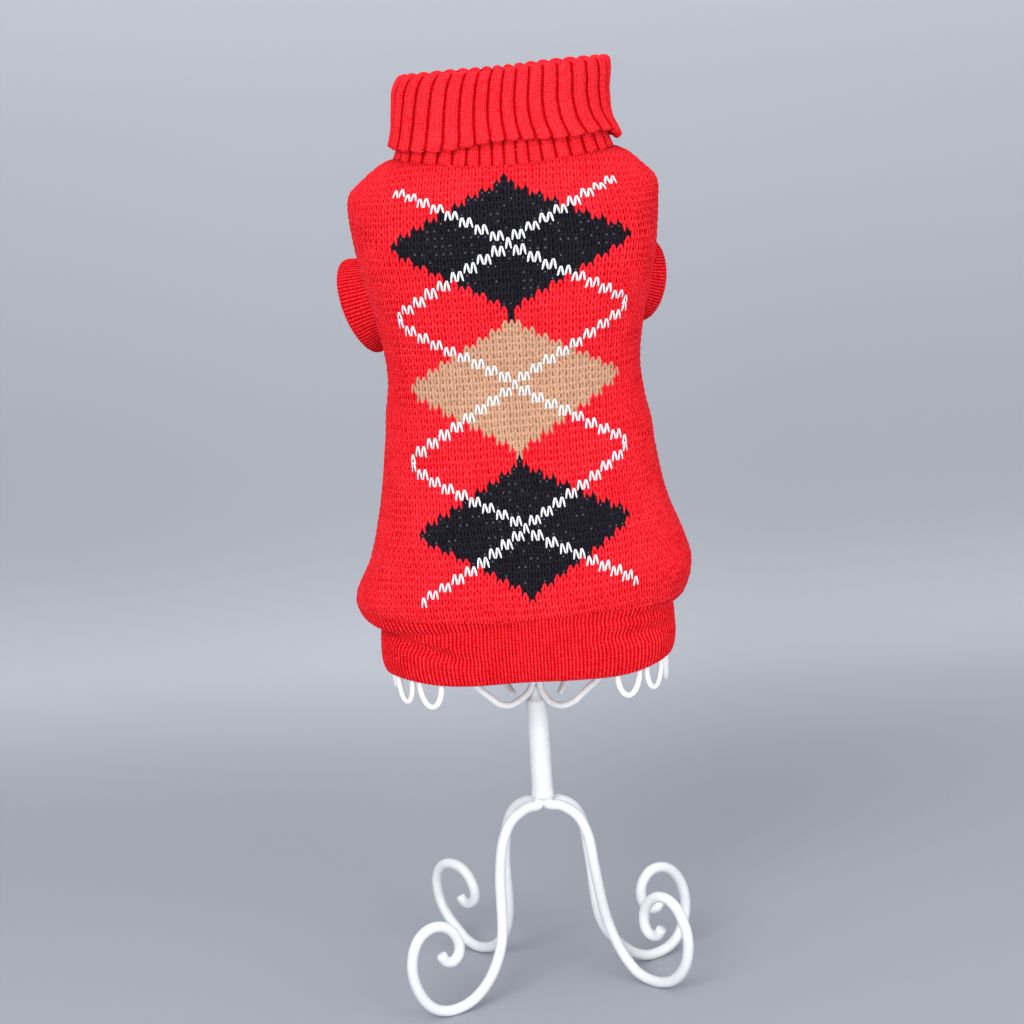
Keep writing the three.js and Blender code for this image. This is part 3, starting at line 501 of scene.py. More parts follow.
def collar(material):
    """The roll collar, with sixteen points to a rib and rows of stitches by length along its section."""
    per_rib, tall = 16, 1.6
    inner_rows, shown_rows, hidden_rows = 8, 104, 25
    dense = np.linspace(0, 15, 1501)
    side = collar_face(np.full_like(dense, math.pi / 2), dense)
    length = path_length(side)
    shown = np.linspace(np.interp(2.6, dense, length), np.interp(11.2, dense, length), shown_rows)
    hidden = np.linspace(shown[-1], length[-1], hidden_rows + 1)[1:]
    start = np.linspace(0, shown[0], inner_rows + 1)[:-1]
    at = np.interp(np.concatenate([start, shown, hidden]), length, dense)
    v = np.interp(at, dense, length) / tall
    columns = COLLAR_RIBS * per_rib
    turn = 2 * math.pi * np.arange(columns) / columns
    T, A = np.meshgrid(turn, at)
    points = collar_face(T, A)
    normal = outward(collar_face, T, A, 15)
    u = np.arange(columns + 1) / per_rib
    relief = COLLAR_RELIEF * rib_broad(u[None, :-1], v[:, None]) - COLLAR_SINK + wander(T * 6, v[:, None] / 2, 6, 0.25)
    points = points + normal * (relief * ring_shown(at)[:, None])[..., None]
    return ring_wall("collar_knit", points, u, np.append(v, v[-1] + 1), material)


def ring_shown(at):
    """Where the collar's ribs are raised: on the turned part and on the neck's outside."""
    return step(at, 1.5, 2.8) * (1 - step(at, 11, 11.6)) + step(at, 13.2, 14.2)


HEM = table("drop half fore aft", [
    (0.3, 79.4, 54.6, 49.6), (7.0, 80.4, 55.4, 50.8), (19.0, 80.6, 55.2, 50.6), (27.0, 78.8, 53.6, 49.0),
    (27.2, 76.4, 51.4, 46.8), (14.0, 77.9, 52.5, 47.9), (0.3, 76.9, 51.6, 47.2), (0.3, 76.9, 51.6, 47.2)])
HEM_TALL, HEM_TALL_FRONT = 27, 31.5  # the band's height at the sides and in the middle of the argyle side
HEM_WAVES = [(-74, 22, -3.2), (-4, 22, -1.0), (52, 20, 2.0)]  # angle, width in degrees, how much longer it is there
HEM_RIBS = 194


def hem_face(turn, at):
    """The hem band: over the body's rounded lower edge as at goes from 0 to 1, then by its own section, deeper in the
    middle of the argyle side, down to the edge at 4, and up inside to 8."""
    s = {key: along(column, at - 1) for key, column in HEM.items()}
    drop = s["drop"] * (1 + (HEM_TALL_FRONT / HEM_TALL - 1) * np.clip(np.cos(turn), 0, 1) ** 2)
    longer = waves(turn, HEM_WAVES)
    z = body_face(turn, np.full_like(turn, BODY_END))[..., 2] - drop - longer * (s["drop"] / HEM_TALL) ** 2
    own = polar(turn, reach(turn, s["half"], s["fore"], s["aft"]) + fold(turn, z + 0.3), HEM_SHIFT, z)
    share = np.clip(at, 0, 1)
    start = hem_row(turn) + 0.02
    over = body_face(turn, start + (BODY_END - start) * share)
    inside = np.clip(8 - at, 0, 1)
    inner = body_inside(turn, start, CLOTH)
    mixed = over + (own - over) * step(at, 0.6, 1.4)[..., None]
    return inner + (mixed - inner) * step(inside, 0, 1)[..., None]


def hem(material):
    """The hem band in a fine rib, four points to a rib."""
    per_rib, tall = 4, 1.55
    shown_rows, hidden_rows = 61, 11
    dense = np.linspace(0, 8, 801)
    length = path_length(hem_face(np.full_like(dense, math.pi / 2), dense))
    shown = np.linspace(0, np.interp(4.1, dense, length), shown_rows)
    hidden = np.linspace(shown[-1], length[-1], hidden_rows + 1)[1:]
    at = np.interp(np.concatenate([shown, hidden]), length, dense)
    v = np.interp(at, dense, length) / tall
    columns = HEM_RIBS * per_rib
    T, A = np.meshgrid(2 * math.pi * np.arange(columns) / columns, at)
    points = hem_face(T, A)
    u = np.arange(columns + 1) / per_rib
    relief = (HEM_RELIEF * rib_fine(u[None, :-1], v[:, None]) - FINE_SINK) * (1 - step(at, 4.1, 4.8))[:, None]
    points = points + outward(hem_face, T, A, 8) * relief[..., None]
    return ring_wall("hem_band_knit", points, u, np.append(v, v[-1] + 1), material)


def cuff_piece(cuff, material):
    """A leg cuff: a ribbed tube from the body's cloth to its mouth, a rounded edge, and a plain inside."""
    ribs, per_rib, tall = 76, 4, 1.45
    out_rings, rim_rings, in_rings = 29, 5, 8
    sink, bulge = 1.7, 0.9  # how deep the root lies in the body's cloth, and how far the rim bulges
    middle, axis, across, up = cuff_frame(cuff)
    columns = ribs * per_rib
    turn = 2 * math.pi * np.arange(columns) / columns

    def tube(share, inward, base):
        """Points by share of the way from the root to the mouth: half sizes grow from 0.9 to 1 past the middle."""
        size = CUFF_SHRINK + (1 - CUFF_SHRINK) * step(share, 0.3, 1.0)
        along_axis = base + (cuff["reach"] - base) * share
        x = (cuff["broad"] * size - inward) * np.cos(turn)
        y = (cuff["tall"] * size - inward) * np.sin(turn)
        return middle + along_axis[..., None] * axis + x[..., None] * across + y[..., None] * up

    def root(inward, depth):
        """Distance along the axis at which each line of the tube is that deep in the body's face, by halving."""
        low, high = np.full(columns, -24.0), np.full(columns, 12.0)
        for _ in range(20):
            half = (low + high) / 2
            p = tube(np.zeros(columns), inward, half)
            row = row_at(p[..., 2])
            shift = along(BODY["shift"], row)
            face = body_face(np.arctan2(p[..., 0] - shift, -p[..., 1]), row)
            deeper = np.hypot(face[..., 0] - shift, face[..., 1]) - np.hypot(p[..., 0] - shift, p[..., 1]) > depth
            low, high = np.where(deeper, half, low), np.where(deeper, high, half)
        return low

    outer_root, inner_root = root(0, sink), root(CLOTH, sink)
    shares = np.linspace(0, 1, out_rings)
    out = np.stack([tube(np.full(columns, s), 0, outer_root) for s in shares])
    thick = CLOTH / 2
    rim = [tube(np.full(columns, 1 + bulge / cuff["reach"] * math.sin(a)), thick - thick * math.cos(a), outer_root)
           for a in np.linspace(0, math.pi, rim_rings + 2)[1:-1]]
    inn = np.stack([tube(np.full(columns, s), CLOTH, inner_root) for s in np.linspace(1, 0, in_rings)])
    points = np.concatenate([out, np.stack(rim), inn])
    u = np.arange(columns + 1) / per_rib
    rim_tall = 3
    v = np.concatenate([shares * cuff["reach"], cuff["reach"] + np.linspace(0.5, rim_tall, rim_rings),
                        cuff["reach"] + rim_tall + np.linspace(0.2, 1, in_rings) * cuff["reach"]]) / tall
    away = np.cos(turn)[:, None] * across + np.sin(turn)[:, None] * up
    raised = np.concatenate([np.ones(out_rings), np.linspace(0.9, 0.3, rim_rings), np.zeros(in_rings)])
    relief = (CUFF_RELIEF * rib_fine(u[None, :-1], v[:, None]) - FINE_SINK) * raised[:, None]
    points = points + relief[..., None] * away
    return ring_wall(cuff["name"] + "_knit", points, u, np.append(v, v[-1] + 1), material)


# ---- Wire ----

def curve_through(points, count):
    """Evenly spaced points on a centripetal curve through given points: knots are spaced by the root of distance."""
    p = np.asarray(points, float)
    p = np.vstack([2 * p[0] - p[1], p, 2 * p[-1] - p[-2]])
    gap = np.maximum(np.linalg.norm(np.diff(p, axis=0), axis=1), 1e-4) ** 0.5
    knot = np.concatenate([[0], np.cumsum(gap)])
    i = np.repeat(np.arange(1, len(p) - 2), 40)
    share = np.tile(np.arange(40) / 40, len(p) - 3)
    t = (knot[i] + share * (knot[i + 1] - knot[i]))[:, None]
    K = [knot[i + k][:, None] for k in (-1, 0, 1, 2)]
    P = [p[i + k] for k in (-1, 0, 1, 2)]
    a = [((K[k + 1] - t) * P[k] + (t - K[k]) * P[k + 1]) / (K[k + 1] - K[k]) for k in range(3)]
    b = [((K[k + 2] - t) * a[k] + (t - K[k]) * a[k + 1]) / (K[k + 2] - K[k]) for k in range(2)]
    dense = np.vstack([((K[2] - t) * b[0] + (t - K[1]) * b[1]) / (K[2] - K[1]), p[-2]])
    length = path_length(dense)
    even = np.linspace(0, length[-1], count)
    return np.stack([np.interp(even, length, dense[:, k]) for k in range(3)], 1)


def painted_tube(name, points, material, closed=False):
    """A piece of the stand from the rings of its points, each joined to the next, with a flat face on an open end."""
    rings, sides = points.shape[:2]
    joined = rings if closed else rings - 1
    i, j = (k.ravel() for k in np.meshgrid(np.arange(joined), np.arange(sides), indexing="ij"))
    i1, j1 = (i + 1) % rings, (j + 1) % sides
    faces = [np.stack([i * sides + j, i * sides + j1, i1 * sides + j1, i1 * sides + j], 1)]
    if not closed:
        end = np.arange(sides)
        faces.append(np.stack([end[::-1], end + (rings - 1) * sides]))
    obj = new_piece(name, points.reshape(-1, 3), faces, [np.zeros((f.size, 2)) for f in faces], material)
    return obj


def wire(name, line, radius, reference, material, closed=False, sides=14):
    """A round rod along a line: rings square to it, with a small bevel and a flat cut at each open end."""
    if closed:
        tangent = unit(np.roll(line, -1, 0) - np.roll(line, 1, 0))
        size = np.ones(len(line))
    else:
        first, last = unit(line[0] - line[1]), unit(line[-1] - line[-2])
        bevel = 0.22 * radius
        line = np.vstack([line[0] + first * bevel, line[0] + first * bevel, line, line[-1] + last * bevel,
                          line[-1] + last * bevel])
        tangent = unit(np.gradient(line, axis=0) + 1e-12)
        tangent[:2], tangent[-2:] = -first, last
        size = np.concatenate([[0.02, 0.8], np.ones(len(line) - 4), [0.8, 0.02]])
    reference = np.asarray(reference, float)
    across = unit(reference - (tangent @ reference)[:, None] * tangent)
    up = np.cross(tangent, across)
    turn = 2 * math.pi * (np.arange(sides) + 0.5) / sides
    c, s = np.cos(turn)[None, :, None], np.sin(turn)[None, :, None]
    points = line[:, None] + radius * size[:, None, None] * (c * across[:, None] + s * up[:, None])
    return painted_tube(name, points, material, closed)


WIRE = dict(foot=3.0, arm=1.85, form=1.5, loop=1.55)  # radii
GAP = 0.3  # between pieces that are welded on the real stand
POST = dict(radius=5.9, bottom=108.5, top=165.5)
LEG_KNEES = {"leg_front_left": (-26.5, -16), "leg_front_right": (26, -10.5), "leg_back_left": (-23.5, 15),
             "leg_back_right": (24, 11)}
# Each leg below its knee, in its own upright plane: where it lands, the plane's direction, and the line by distance
# outwards from the landing and height.
LEG_SCROLLS = {
    "leg_front_left": ((-58.5, -41.7), 205, [
        (-33.2, 36.7), (-29.8, 25.6), (-25.2, 16.4), (-19.2, 9.4), (-12, 4.9), (-4.5, 3.1), (2.1, 3.4), (8.5, 6.1),
        (14, 11.7), (18.2, 19.8), (20.3, 28.5), (20.3, 35.8), (18.5, 43.3), (14.7, 49.3), (9, 52.8), (3.1, 53),
        (-2.7, 50.2), (-6.8, 44.8), (-8.2, 38.5), (-6.6, 33.3), (-3.1, 31), (0.7, 32.5), (2.8, 36.3)]),
    "leg_front_right": ((58.0, -21.7), -42, [
        (-33.2, 42.2), (-30.6, 29), (-27, 19), (-22.3, 11.4), (-16, 6), (-8, 3.3), (0.6, 3.2), (9.2, 6), (15.8, 11.9),
        (20.2, 19.9), (21.9, 28.5), (21.5, 36.6), (18.7, 44.2), (14.7, 50.4), (9.4, 53.9), (3.1, 54.3), (-2.6, 51.3),
        (-6.8, 45.6), (-8.3, 39.4), (-7.3, 33.7), (-4, 30.6), (0.3, 30.9), (3.7, 35.3)]),
    "leg_back_left": ((-47.8, 49.5), 138, [
        (-32, 32), (-25.5, 15.5), (-19, 7.4), (-12.5, 3.9), (-5.2, 3.1), (2.6, 5.4), (9, 10.2), (15.4, 16),
        (20.3, 22.8), (23, 30.6), (23.5, 38.1), (21.6, 44.1), (17.6, 48.7), (11.8, 50.9), (4.7, 50.4), (-1.3, 47),
        (-5.1, 41.6), (-6.7, 36.4), (-5.5, 31.8), (-1.7, 28.8), (2.7, 29.4), (4.8, 31.8)]),
    "leg_back_right": ((60.0, 19.5), 31, [
        (-33, 32), (-27, 20.5), (-20.4, 11.9), (-14.4, 6.6), (-6.6, 3.4), (1.9, 3.1), (9.1, 5), (14.3, 8.8),
        (17.6, 13.5), (20.8, 22.3), (21.3, 30.8), (19.8, 38.6), (16.5, 45.5), (11.9, 50.7), (5.7, 53.8), (-1.3, 53.5),
        (-6.4, 49.6), (-8.8, 44.2), (-8.7, 38.7), (-6.6, 33.9), (-2, 30.5), (1.5, 30.5), (3.2, 32.5)])}
KNEE_PULL = (0.45, 0.2, 0.06)  # how far the line's first points move to stand right under the knee
LEG_ROOT = 3.6  # a leg's distance from the post's middle at the post's foot


def leg(name, material):
    """A leg: out of the post's foot, over the knee, down to the floor and up into its scroll."""
    foot, deg, scroll = LEG_SCROLLS[name]
    out = np.array([math.cos(math.radians(deg)), math.sin(math.radians(deg)), 0])
    knee = np.array([*LEG_KNEES[name], 0.0])
    start = np.array([*np.sign(knee[:2]), 0]) / math.sqrt(2) * LEG_ROOT
    under = POST["bottom"] - WIRE["foot"] - GAP
    up = np.array([0, 0, 1.0])
    shoulder = [start * 0.8 + up * (under + 4), start + up * under, start + (knee - start) * 0.3 + up * (under - 0.6),
                knee * 0.7 + up * (under - 6), knee * 0.9 + up * (under - 17), knee + up * 70]
    line = [np.array([*foot, 0]) + up * z + out * o for o, z in scroll]
    for k, share in enumerate(KNEE_PULL):
        line[k] = line[k] + (knee + up * line[k][2] - line[k]) * share
    line = curve_through(shoulder + line, 230)
    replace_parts(wire(name + "_rod", line, WIRE["foot"], (-out[1], out[0], 0), material, sides=16), name)


HOOP = dict(z=205, half=74.4, fore=49.0, aft=44.6, shift=HEM_SHIFT)
NECK_RING = dict(z=498, half=47.6, fore=29.8, aft=28.0, shift=1.6)
# Each arm's direction round the post, and its line from the inner end by distance outwards and height.
ARMS = [
    ("arm_front_left", -47, [
        (2.2, 184), (2.3, 176), (5.0, 171.6), (12.6, 168), (20.5, 167), (27.8, 169.8), (34.5, 175.6), (41.5, 182)]),
    ("arm_front_right", 48, [
        (2.8, 184), (3.0, 175), (5.0, 170), (9.8, 165.9), (18.2, 164.7), (27.8, 168.8), (32.4, 172.6), (39, 178.4),
        (45.8, 184.2)]),
    ("arm_back_right", 138, [(20.2, 163), (23.5, 166.5), (26.8, 169.8), (34, 177)]),
    ("arm_back_left", -140, [(19, 164.8), (22.5, 168.2), (25.8, 171.9), (33, 180)])]
RINGS = [("waist_ring", 350, 0.1), ("chest_ring", 410, 0.35)]  # name, height and slack inside the uprights
LOOPS = [-71, -56, 54, 69, 84, 118, -96, -120]  # angles round the hoop
LOOP = dict(tall=12.7, broad=7.0)  # half sizes
UPRIGHTS = [30, 84, 150, -150, -84, -30]  # angles round the body
UPRIGHT_HEIGHTS = np.array([285, 305, 325, 345, 365, 384, 400, 412])
UPRIGHT_CLEAR = 1.0  # between an upright and the cloth


def hoop_point(hoop, turn, inward=0.0, z=None):
    """Points on a hoop's line, or so far inside it, or at another height."""
    r = reach(np.asarray(turn, float), hoop["half"], hoop["fore"], hoop["aft"]) - inward
    return polar(turn, r, hoop["shift"], hoop["z"] if z is None else z)


def dress_form(material):
    """The wire form inside the sweater: hoops, uprights, arms and hanging loops, each along its own line."""
    turn = 2 * math.pi * np.arange(120) / 120
    for name, hoop, radius in (("hem_hoop", HOOP, WIRE["arm"]), ("neck_ring", NECK_RING, WIRE["form"])):
        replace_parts(wire(name + "_wire", hoop_point(hoop, turn), radius, (0, 0, 1), material, True, 10), name)
    depth = CLOTH + UPRIGHT_CLEAR + WIRE["form"]
    for name, z, ease in RINGS:
        line = body_inside(turn, row_at(z), depth + 2 * WIRE["form"] + GAP + ease)
        line[:, 2] = z
        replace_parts(wire(name + "_wire", line, WIRE["form"], (0, 0, 1), material, True, 10), name)
    for i, deg in enumerate(UPRIGHTS):
        a = math.radians(deg)
        lower = [hoop_point(HOOP, a, 0.8, HOOP["z"] + WIRE["arm"] + GAP), hoop_point(HOOP, a, 0.8, 234)]
        body = list(body_inside(a, row_at(UPRIGHT_HEIGHTS), depth)) + [body_inside(a, row_at(434), depth + 4)]
        neck = [hoop_point(NECK_RING, a, 0, z) for z in (449, 466, 482, NECK_RING["z"] - WIRE["form"] * 2 - GAP)]
        line = curve_through(lower + body + neck, 60)
        side = (math.cos(a), math.sin(a), 0)
        name = f"upright_{i + 1}"
        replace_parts(wire(name + "_wire", line, WIRE["form"], side, material, sides=10), name)
    for i, deg in enumerate(LOOPS):
        a = math.radians(deg)
        at = hoop_point(HOOP, a, 0.4)
        tangent = unit(hoop_point(HOOP, a + 0.02) - hoop_point(HOOP, a - 0.02))
        t = 2 * math.pi * np.arange(40)[:, None] / 40
        drop = WIRE["arm"] + WIRE["loop"] + GAP + LOOP["tall"]
        line = at + LOOP["broad"] * np.sin(t) * tangent + (LOOP["tall"] * np.cos(t) - drop) * [0, 0, 1]
        name = f"loop_{i + 1}"
        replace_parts(wire(name + "_wire", line, WIRE["loop"], (-tangent[1], tangent[0], 0), material, True, 12), name)
    for name, deg, inner in ARMS:
        end = hoop_point(HOOP, math.radians(deg))
        flat = math.hypot(end[0], end[1])
        out = np.array([end[0] / flat, end[1] / flat, 0])
        under = HOOP["z"] - WIRE["arm"] * 2 - GAP
        middle = (inner[-1][0] * 0.5 + flat * 0.48, inner[-1][1] * 0.4 + under * 0.6)
        places = inner + [middle, (flat - 6, under - 3), (flat - 0.3, under)]
        line = curve_through([out * r + np.array([0, 0, z]) for r, z in places], 60)
        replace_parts(wire(name + "_wire", line, WIRE["arm"], (-out[1], out[0], 0), material, sides=12), name)


def post(material):
    """The post: a round tube from a profile of distances and heights, with a weld's uneven bead round its foot and a
    smaller stub on top where the arms meet."""
    radius, low, high = POST["radius"], POST["bottom"], POST["top"]
    profile = np.array(
        [(0.01, low), (radius - 0.8, low), (radius, low + 0.8)]
        + [(radius, height) for height in np.linspace(low + 3, high - 3, 16)]
        + [(radius, high - 0.6), (radius - 0.5, high), (radius - 1.2, high + 0.5), (3.6, high + 1.3), (2.9, high + 3.0),
           (2.4, high + 6.0), (1.5, high + 8.2), (0.01, high + 8.6)])
    sides = 48
    turn = 2 * math.pi * np.arange(sides) / sides
    r, z = profile[:, :1] * np.ones((1, sides)), profile[:, 1:] * np.ones((1, sides))
    r = r * (1 + 0.1 * np.sin(2 * turn + 0.6) * (z > high + 1))
    uneven = 1 + 0.5 * np.sin(3 * turn) * np.sin(5 * turn + 1)
    r = r + 0.5 * np.exp(-((z - low - 1) / 3) ** 2) * (r > radius - 1) * uneven
    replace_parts(painted_tube("post_tube", np.stack([r * np.cos(turn), r * np.sin(turn), z], -1), material), "post")


# ---- Materials ----

class Nodes:
    """Short ways to add nodes to one tree. A value is a number or another node's output."""

    def __init__(self, tree):
        self.tree = tree

    def put(self, socket, value):
        if isinstance(value, bpy.types.NodeSocket):
            self.tree.links.new(value, socket)
        else:
            socket.default_value = value

    def new(self, kind, values, **settings):
        """A node with its settings and the values of its inputs, which are named or numbered."""
        node = self.tree.nodes.new("ShaderNode" + kind)
        for key, value in settings.items():
            setattr(node, key, value)
        for key, value in values.items():
            self.put(node.inputs[key], value)
        return node.outputs

    def math(self, kind, a, b=0.0, c=0.0):
        return self.new("Math", {0: a, 1: b, 2: c}, operation=kind)[0]

    def add(self, a, b): return self.math("ADD", a, b)
    def sub(self, a, b): return self.math("SUBTRACT", a, b)
    def mul(self, a, b): return self.math("MULTIPLY", a, b)
    def over(self, a, b): return self.math("GREATER_THAN", a, b)
    def under(self, a, b): return self.math("LESS_THAN", a, b)
    def most(self, a, b): return self.math("MAXIMUM", a, b)
    def least(self, a, b): return self.math("MINIMUM", a, b)
    def size(self, a): return self.math("ABSOLUTE", a)
    def floor(self, a): return self.math("FLOOR", a)
    def part(self, a): return self.math("FRACT", a)

    def bell(self, x, wide):
        """e to the minus square of x over its width."""
        y = self.math("DIVIDE", x, wide)
        return self.math("EXPONENT", self.mul(self.mul(y, y), -1.0))

    def step(self, x, low, high):
        """A smooth rise from 0 at low to 1 at high."""
        values = {"Value": x, "From Min": low, "From Max": high}
        return self.new("MapRange", values, interpolation_type="SMOOTHSTEP")["Result"]

    def span(self, x, low, high, to_low, to_high):
        """A straight line from to_low at low to to_high at high, and level beyond them."""
        values = {"Value": x, "From Min": low, "From Max": high, "To Min": to_low, "To Max": to_high}
        return self.new("MapRange", values)["Result"]

    def split(self, vector):
        return self.new("SeparateXYZ", {0: vector})

    def join(self, x, y, z=0.0):
        return self.new("CombineXYZ", {0: x, 1: y, 2: z})[0]

    def noise(self, vector, scale, detail=2.0, rough=0.5):
        return self.new("TexNoise", {"Vector": vector, "Scale": scale, "Detail": detail, "Roughness": rough})["Fac"]

    def chance(self, vector):
        """A number from 0 to 1 for each different vector."""
        return self.new("TexWhiteNoise", {"Vector": vector}, noise_dimensions="3D")["Value"]

    def mix(self, share, a, b, kind="MIX"):
        """Colour a where the share is 0 and b, or their blend, where it is 1. 6 and 7 are the node's colour inputs."""
        return self.new("Mix", {0: share, 6: a, 7: b}, data_type="RGBA", blend_type=kind)[2]

    def group(self, tree, **values):
        return self.new("Group", values, node_tree=tree)

    def coords(self, which):
        return self.new("TexCoord", {})[which]

    def bump(self, height, distance, strength=1.0):
        return self.new("Bump", {"Height": height, "Distance": distance, "Strength": strength})["Normal"]


def new_group(name, ins, outs):
    """A node group with its named inputs and outputs: the tree, its helper, and the sockets inside it."""
    tree = bpy.data.node_groups.new(name, "ShaderNodeTree")
    for key in ins:
        kind = "NodeSocketVector" if key in ("Stitches", "Place") else "NodeSocketFloat"
        tree.interface.new_socket(key, in_out="INPUT", socket_type=kind)
    for key in outs:
        tree.interface.new_socket(key, in_out="OUTPUT", socket_type="NodeSocketFloat")
    n = Nodes(tree)
    start = tree.nodes.new("NodeGroupInput")
    end = tree.nodes.new("NodeGroupOutput")
    return tree, n, start.outputs, end.inputs


EDGE_SLOPE, EDGE_TOOTH = 2.0, 0.28  # how steep and how deep the teeth are between rows of two colours
HOLE_AT, HOLE_WIDE, HOLE_TALL = 0.47, 0.14, 0.26  # where the hole under a stitch lies, darkened in the materials as painted shade, and its half sizes


def stitch_group():
    """Plain knitting as in stitch_height: its height, the hole under each loop, and each stitch's wale and row, with
    the rows' edges toothed because each loop's head lies over the row above."""
    tree, n, i, o = new_group("plain knitting", ["Stitches"], ["Height", "Hole", "Wale", "Row"])
    u, v, _ = n.split(i["Stitches"])
    off = n.size(n.sub(n.part(u), 0.5))
    best = None
    for k in (-1, 0, 1):
        down = n.add(n.part(v), float(k))
        leg = n.bell(n.sub(off, n.add(n.mul(n.add(down, 0.2), LEG_SPREAD), LEG_AT)), LEG_WIDE)
        length = n.mul(n.step(down, -0.35, -0.1), n.sub(1.0, n.step(down, 1.0, 1.35)))
        height = n.mul(leg, length)
        best = n.most(best, height) if best else height
    beat = n.math("COSINE", n.mul(n.add(v, ROW_PHASE), 2 * math.pi))
    n.put(o["Height"], n.sub(best, n.mul(beat, ROW_BEAT)))
    edge = n.least(n.most(n.mul(n.sub(off, 0.25), EDGE_SLOPE), -EDGE_TOOTH), EDGE_TOOTH)
    n.put(o["Wale"], n.floor(u))
    n.put(o["Row"], n.floor(n.sub(v, edge)))
    n.put(o["Hole"], n.mul(n.bell(off, HOLE_WIDE), n.bell(n.sub(n.part(v), HOLE_AT), HOLE_TALL)))
    return tree


def argyle_group():
    """The chart: three diamonds a cycle apart, and the white line laced through their middles as in laced. Each diamond
    loses two wales on each side with each row from its middle."""
    tree, n, i, o = new_group("argyle chart", ["Wale", "Row"], ["Black", "Camel", "White"])
    w, r = n.size(i["Wale"]), i["Row"]
    inside = n.mul(n.over(r, FIRST_ROW - CYCLE / 2), n.under(r, FIRST_ROW + 2.5 * CYCLE))
    second = n.over(r, FIRST_ROW + 0.5 * CYCLE + 1)
    third = n.over(r, FIRST_ROW + 1.5 * CYCLE)
    middle = n.add(FIRST_ROW, n.mul(n.add(second, third), float(CYCLE)))
    d = n.size(n.sub(r, middle))
    half = n.most(n.least(n.sub(DIAMOND_HALF + 1.0, n.mul(d, 2.0)), float(DIAMOND_HALF)), 0.0)
    diamond = n.mul(inside, n.under(w, n.add(half, 0.5)))
    camel = n.mul(second, n.sub(1.0, third))
    n.put(o["Camel"], n.mul(diamond, camel))
    n.put(o["Black"], n.mul(diamond, n.sub(1.0, camel)))
    turn = n.math("FLOORED_MODULO", n.add(n.sub(r, float(FIRST_ROW)), CYCLE / 2), float(CYCLE))
    near = n.size(n.sub(turn, CYCLE / 2))
    low, high = n.sub(n.mul(near, 2.0), 1.5), n.least(n.add(n.mul(near, 2.0), 0.5), LACE_TURN + 0.5)
    laced_rows = n.mul(inside, n.over(r, FIRST_ROW - LACE_ABOVE - 0.5))
    n.put(o["White"], n.mul(laced_rows, n.mul(n.over(w, low), n.under(w, high))))
    return tree


FIBRE_FINE, FIBRE_COARSE, BLOTCHES = 1500.0, 650.0, 60.0  # noise scales, in waves to a metre


def yarn_group():
    """Wool's own unevenness: fibres of two sizes as a height, and soft blotches as a shade."""
    tree, n, i, o = new_group("yarn", ["Place"], ["Fibre", "Shade"])
    place = i["Place"]
    fine, coarse = n.noise(place, FIBRE_FINE, 3.0, 0.65), n.noise(place, FIBRE_COARSE)
    n.put(o["Fibre"], n.add(n.mul(fine, 0.6), n.mul(coarse, 0.4)))
    n.put(o["Shade"], n.noise(place, BLOTCHES))
    return tree


def broad_rib_group():
    """The collar's rib as in rib_broad: its height, painted light and shade on its stitches, and 1 in the grooves."""
    tree, n, i, o = new_group("broad rib", ["Stitches"], ["Height", "Light", "Groove"])
    u, v, _ = n.split(i["Stitches"])
    across = n.sub(n.part(u), 0.5)
    dome = n.math("POWER", n.most(n.math("COSINE", n.mul(across, math.pi)), 0.0), RIB_POWER)
    wale = n.mul(n.least(n.most(n.add(n.math("DIVIDE", across, RIB_HALF * 2), 0.5), 0.0), 0.999), float(RIB_WALES))
    stitch = n.group(STITCH, Stitches=n.join(wale, v))
    n.put(o["Height"], n.mul(dome, n.add(n.mul(stitch["Height"], 0.4), 0.6)))
    # Painted light on the stitches' legs and painted shade in their holes.
    n.put(o["Light"], n.sub(n.span(stitch["Height"], 0.15, 0.8, 0.05, 0.9), n.mul(stitch["Hole"], 0.5)))
    n.put(o["Groove"], n.step(n.size(across), 0.27, 0.48))
    return tree


def fine_rib_group():
    """The hem's and the cuffs' rib as in rib_fine: its height, painted light on its ridges, and 1 in the grooves."""
    tree, n, i, o = new_group("fine rib", ["Stitches"], ["Height", "Light", "Groove"])
    u, v, _ = n.split(i["Stitches"])
    off = n.size(n.sub(n.part(u), 0.5))
    ridge = n.math("POWER", n.most(n.math("COSINE", n.mul(off, math.pi)), 0.0), FINE_POWER)
    beat = n.math("COSINE", n.mul(n.add(v, n.mul(off, FINE_SLANT)), 2 * math.pi))
    n.put(o["Height"], n.mul(ridge, n.add(n.mul(beat, 0.16), 0.84)))
    # Painted light on the ridges, darker towards the grooves.
    n.put(o["Light"], n.add(n.mul(ridge, n.add(n.mul(beat, 0.2), 0.56)), 0.16))
    n.put(o["Groove"], n.mul(n.step(off, 0.2, 0.46), 0.6))
    return tree


STITCH, ARGYLE, YARN = stitch_group(), argyle_group(), yarn_group()
BROAD_RIB, FINE_RIB_GROUP = broad_rib_group(), fine_rib_group()


def colour(r, g, b):
    """A linear colour from its screen values, 0 to 255."""
    return (*[((c / 255 + 0.055) / 1.055) ** 2.4 if c > 10 else c / 255 / 12.92 for c in (r, g, b)], 1.0)


RED, RIB_RED = (0.98, 0.0025, 0.009, 1.0), (0.98, 0.002, 0.008, 1.0)
BLACK, CAMEL, WHITE = (0.0075, 0.006, 0.0095, 1.0), (0.62, 0.33, 0.2, 1.0), (0.88, 0.89, 0.93, 1.0)
FRAY = (0.32, 0.32, 0.35, 1.0)  # light fibres that show at some stitches of the black yarn
PAINTED_HIGHLIGHT = (0.03, 0.034, 0.046, 1.0)  # a painted highlight, added to the yarn's colour where it is lightest


STRAND_BUMP = 0.0005  # metres
FIBRE_BUMP = 1.3  # the fibres' share in the relief


def new_material(name):
    material = bpy.data.materials.new(name)
    material.use_nodes = True
    return material, Nodes(material.node_tree), material.node_tree.nodes["Principled BSDF"]


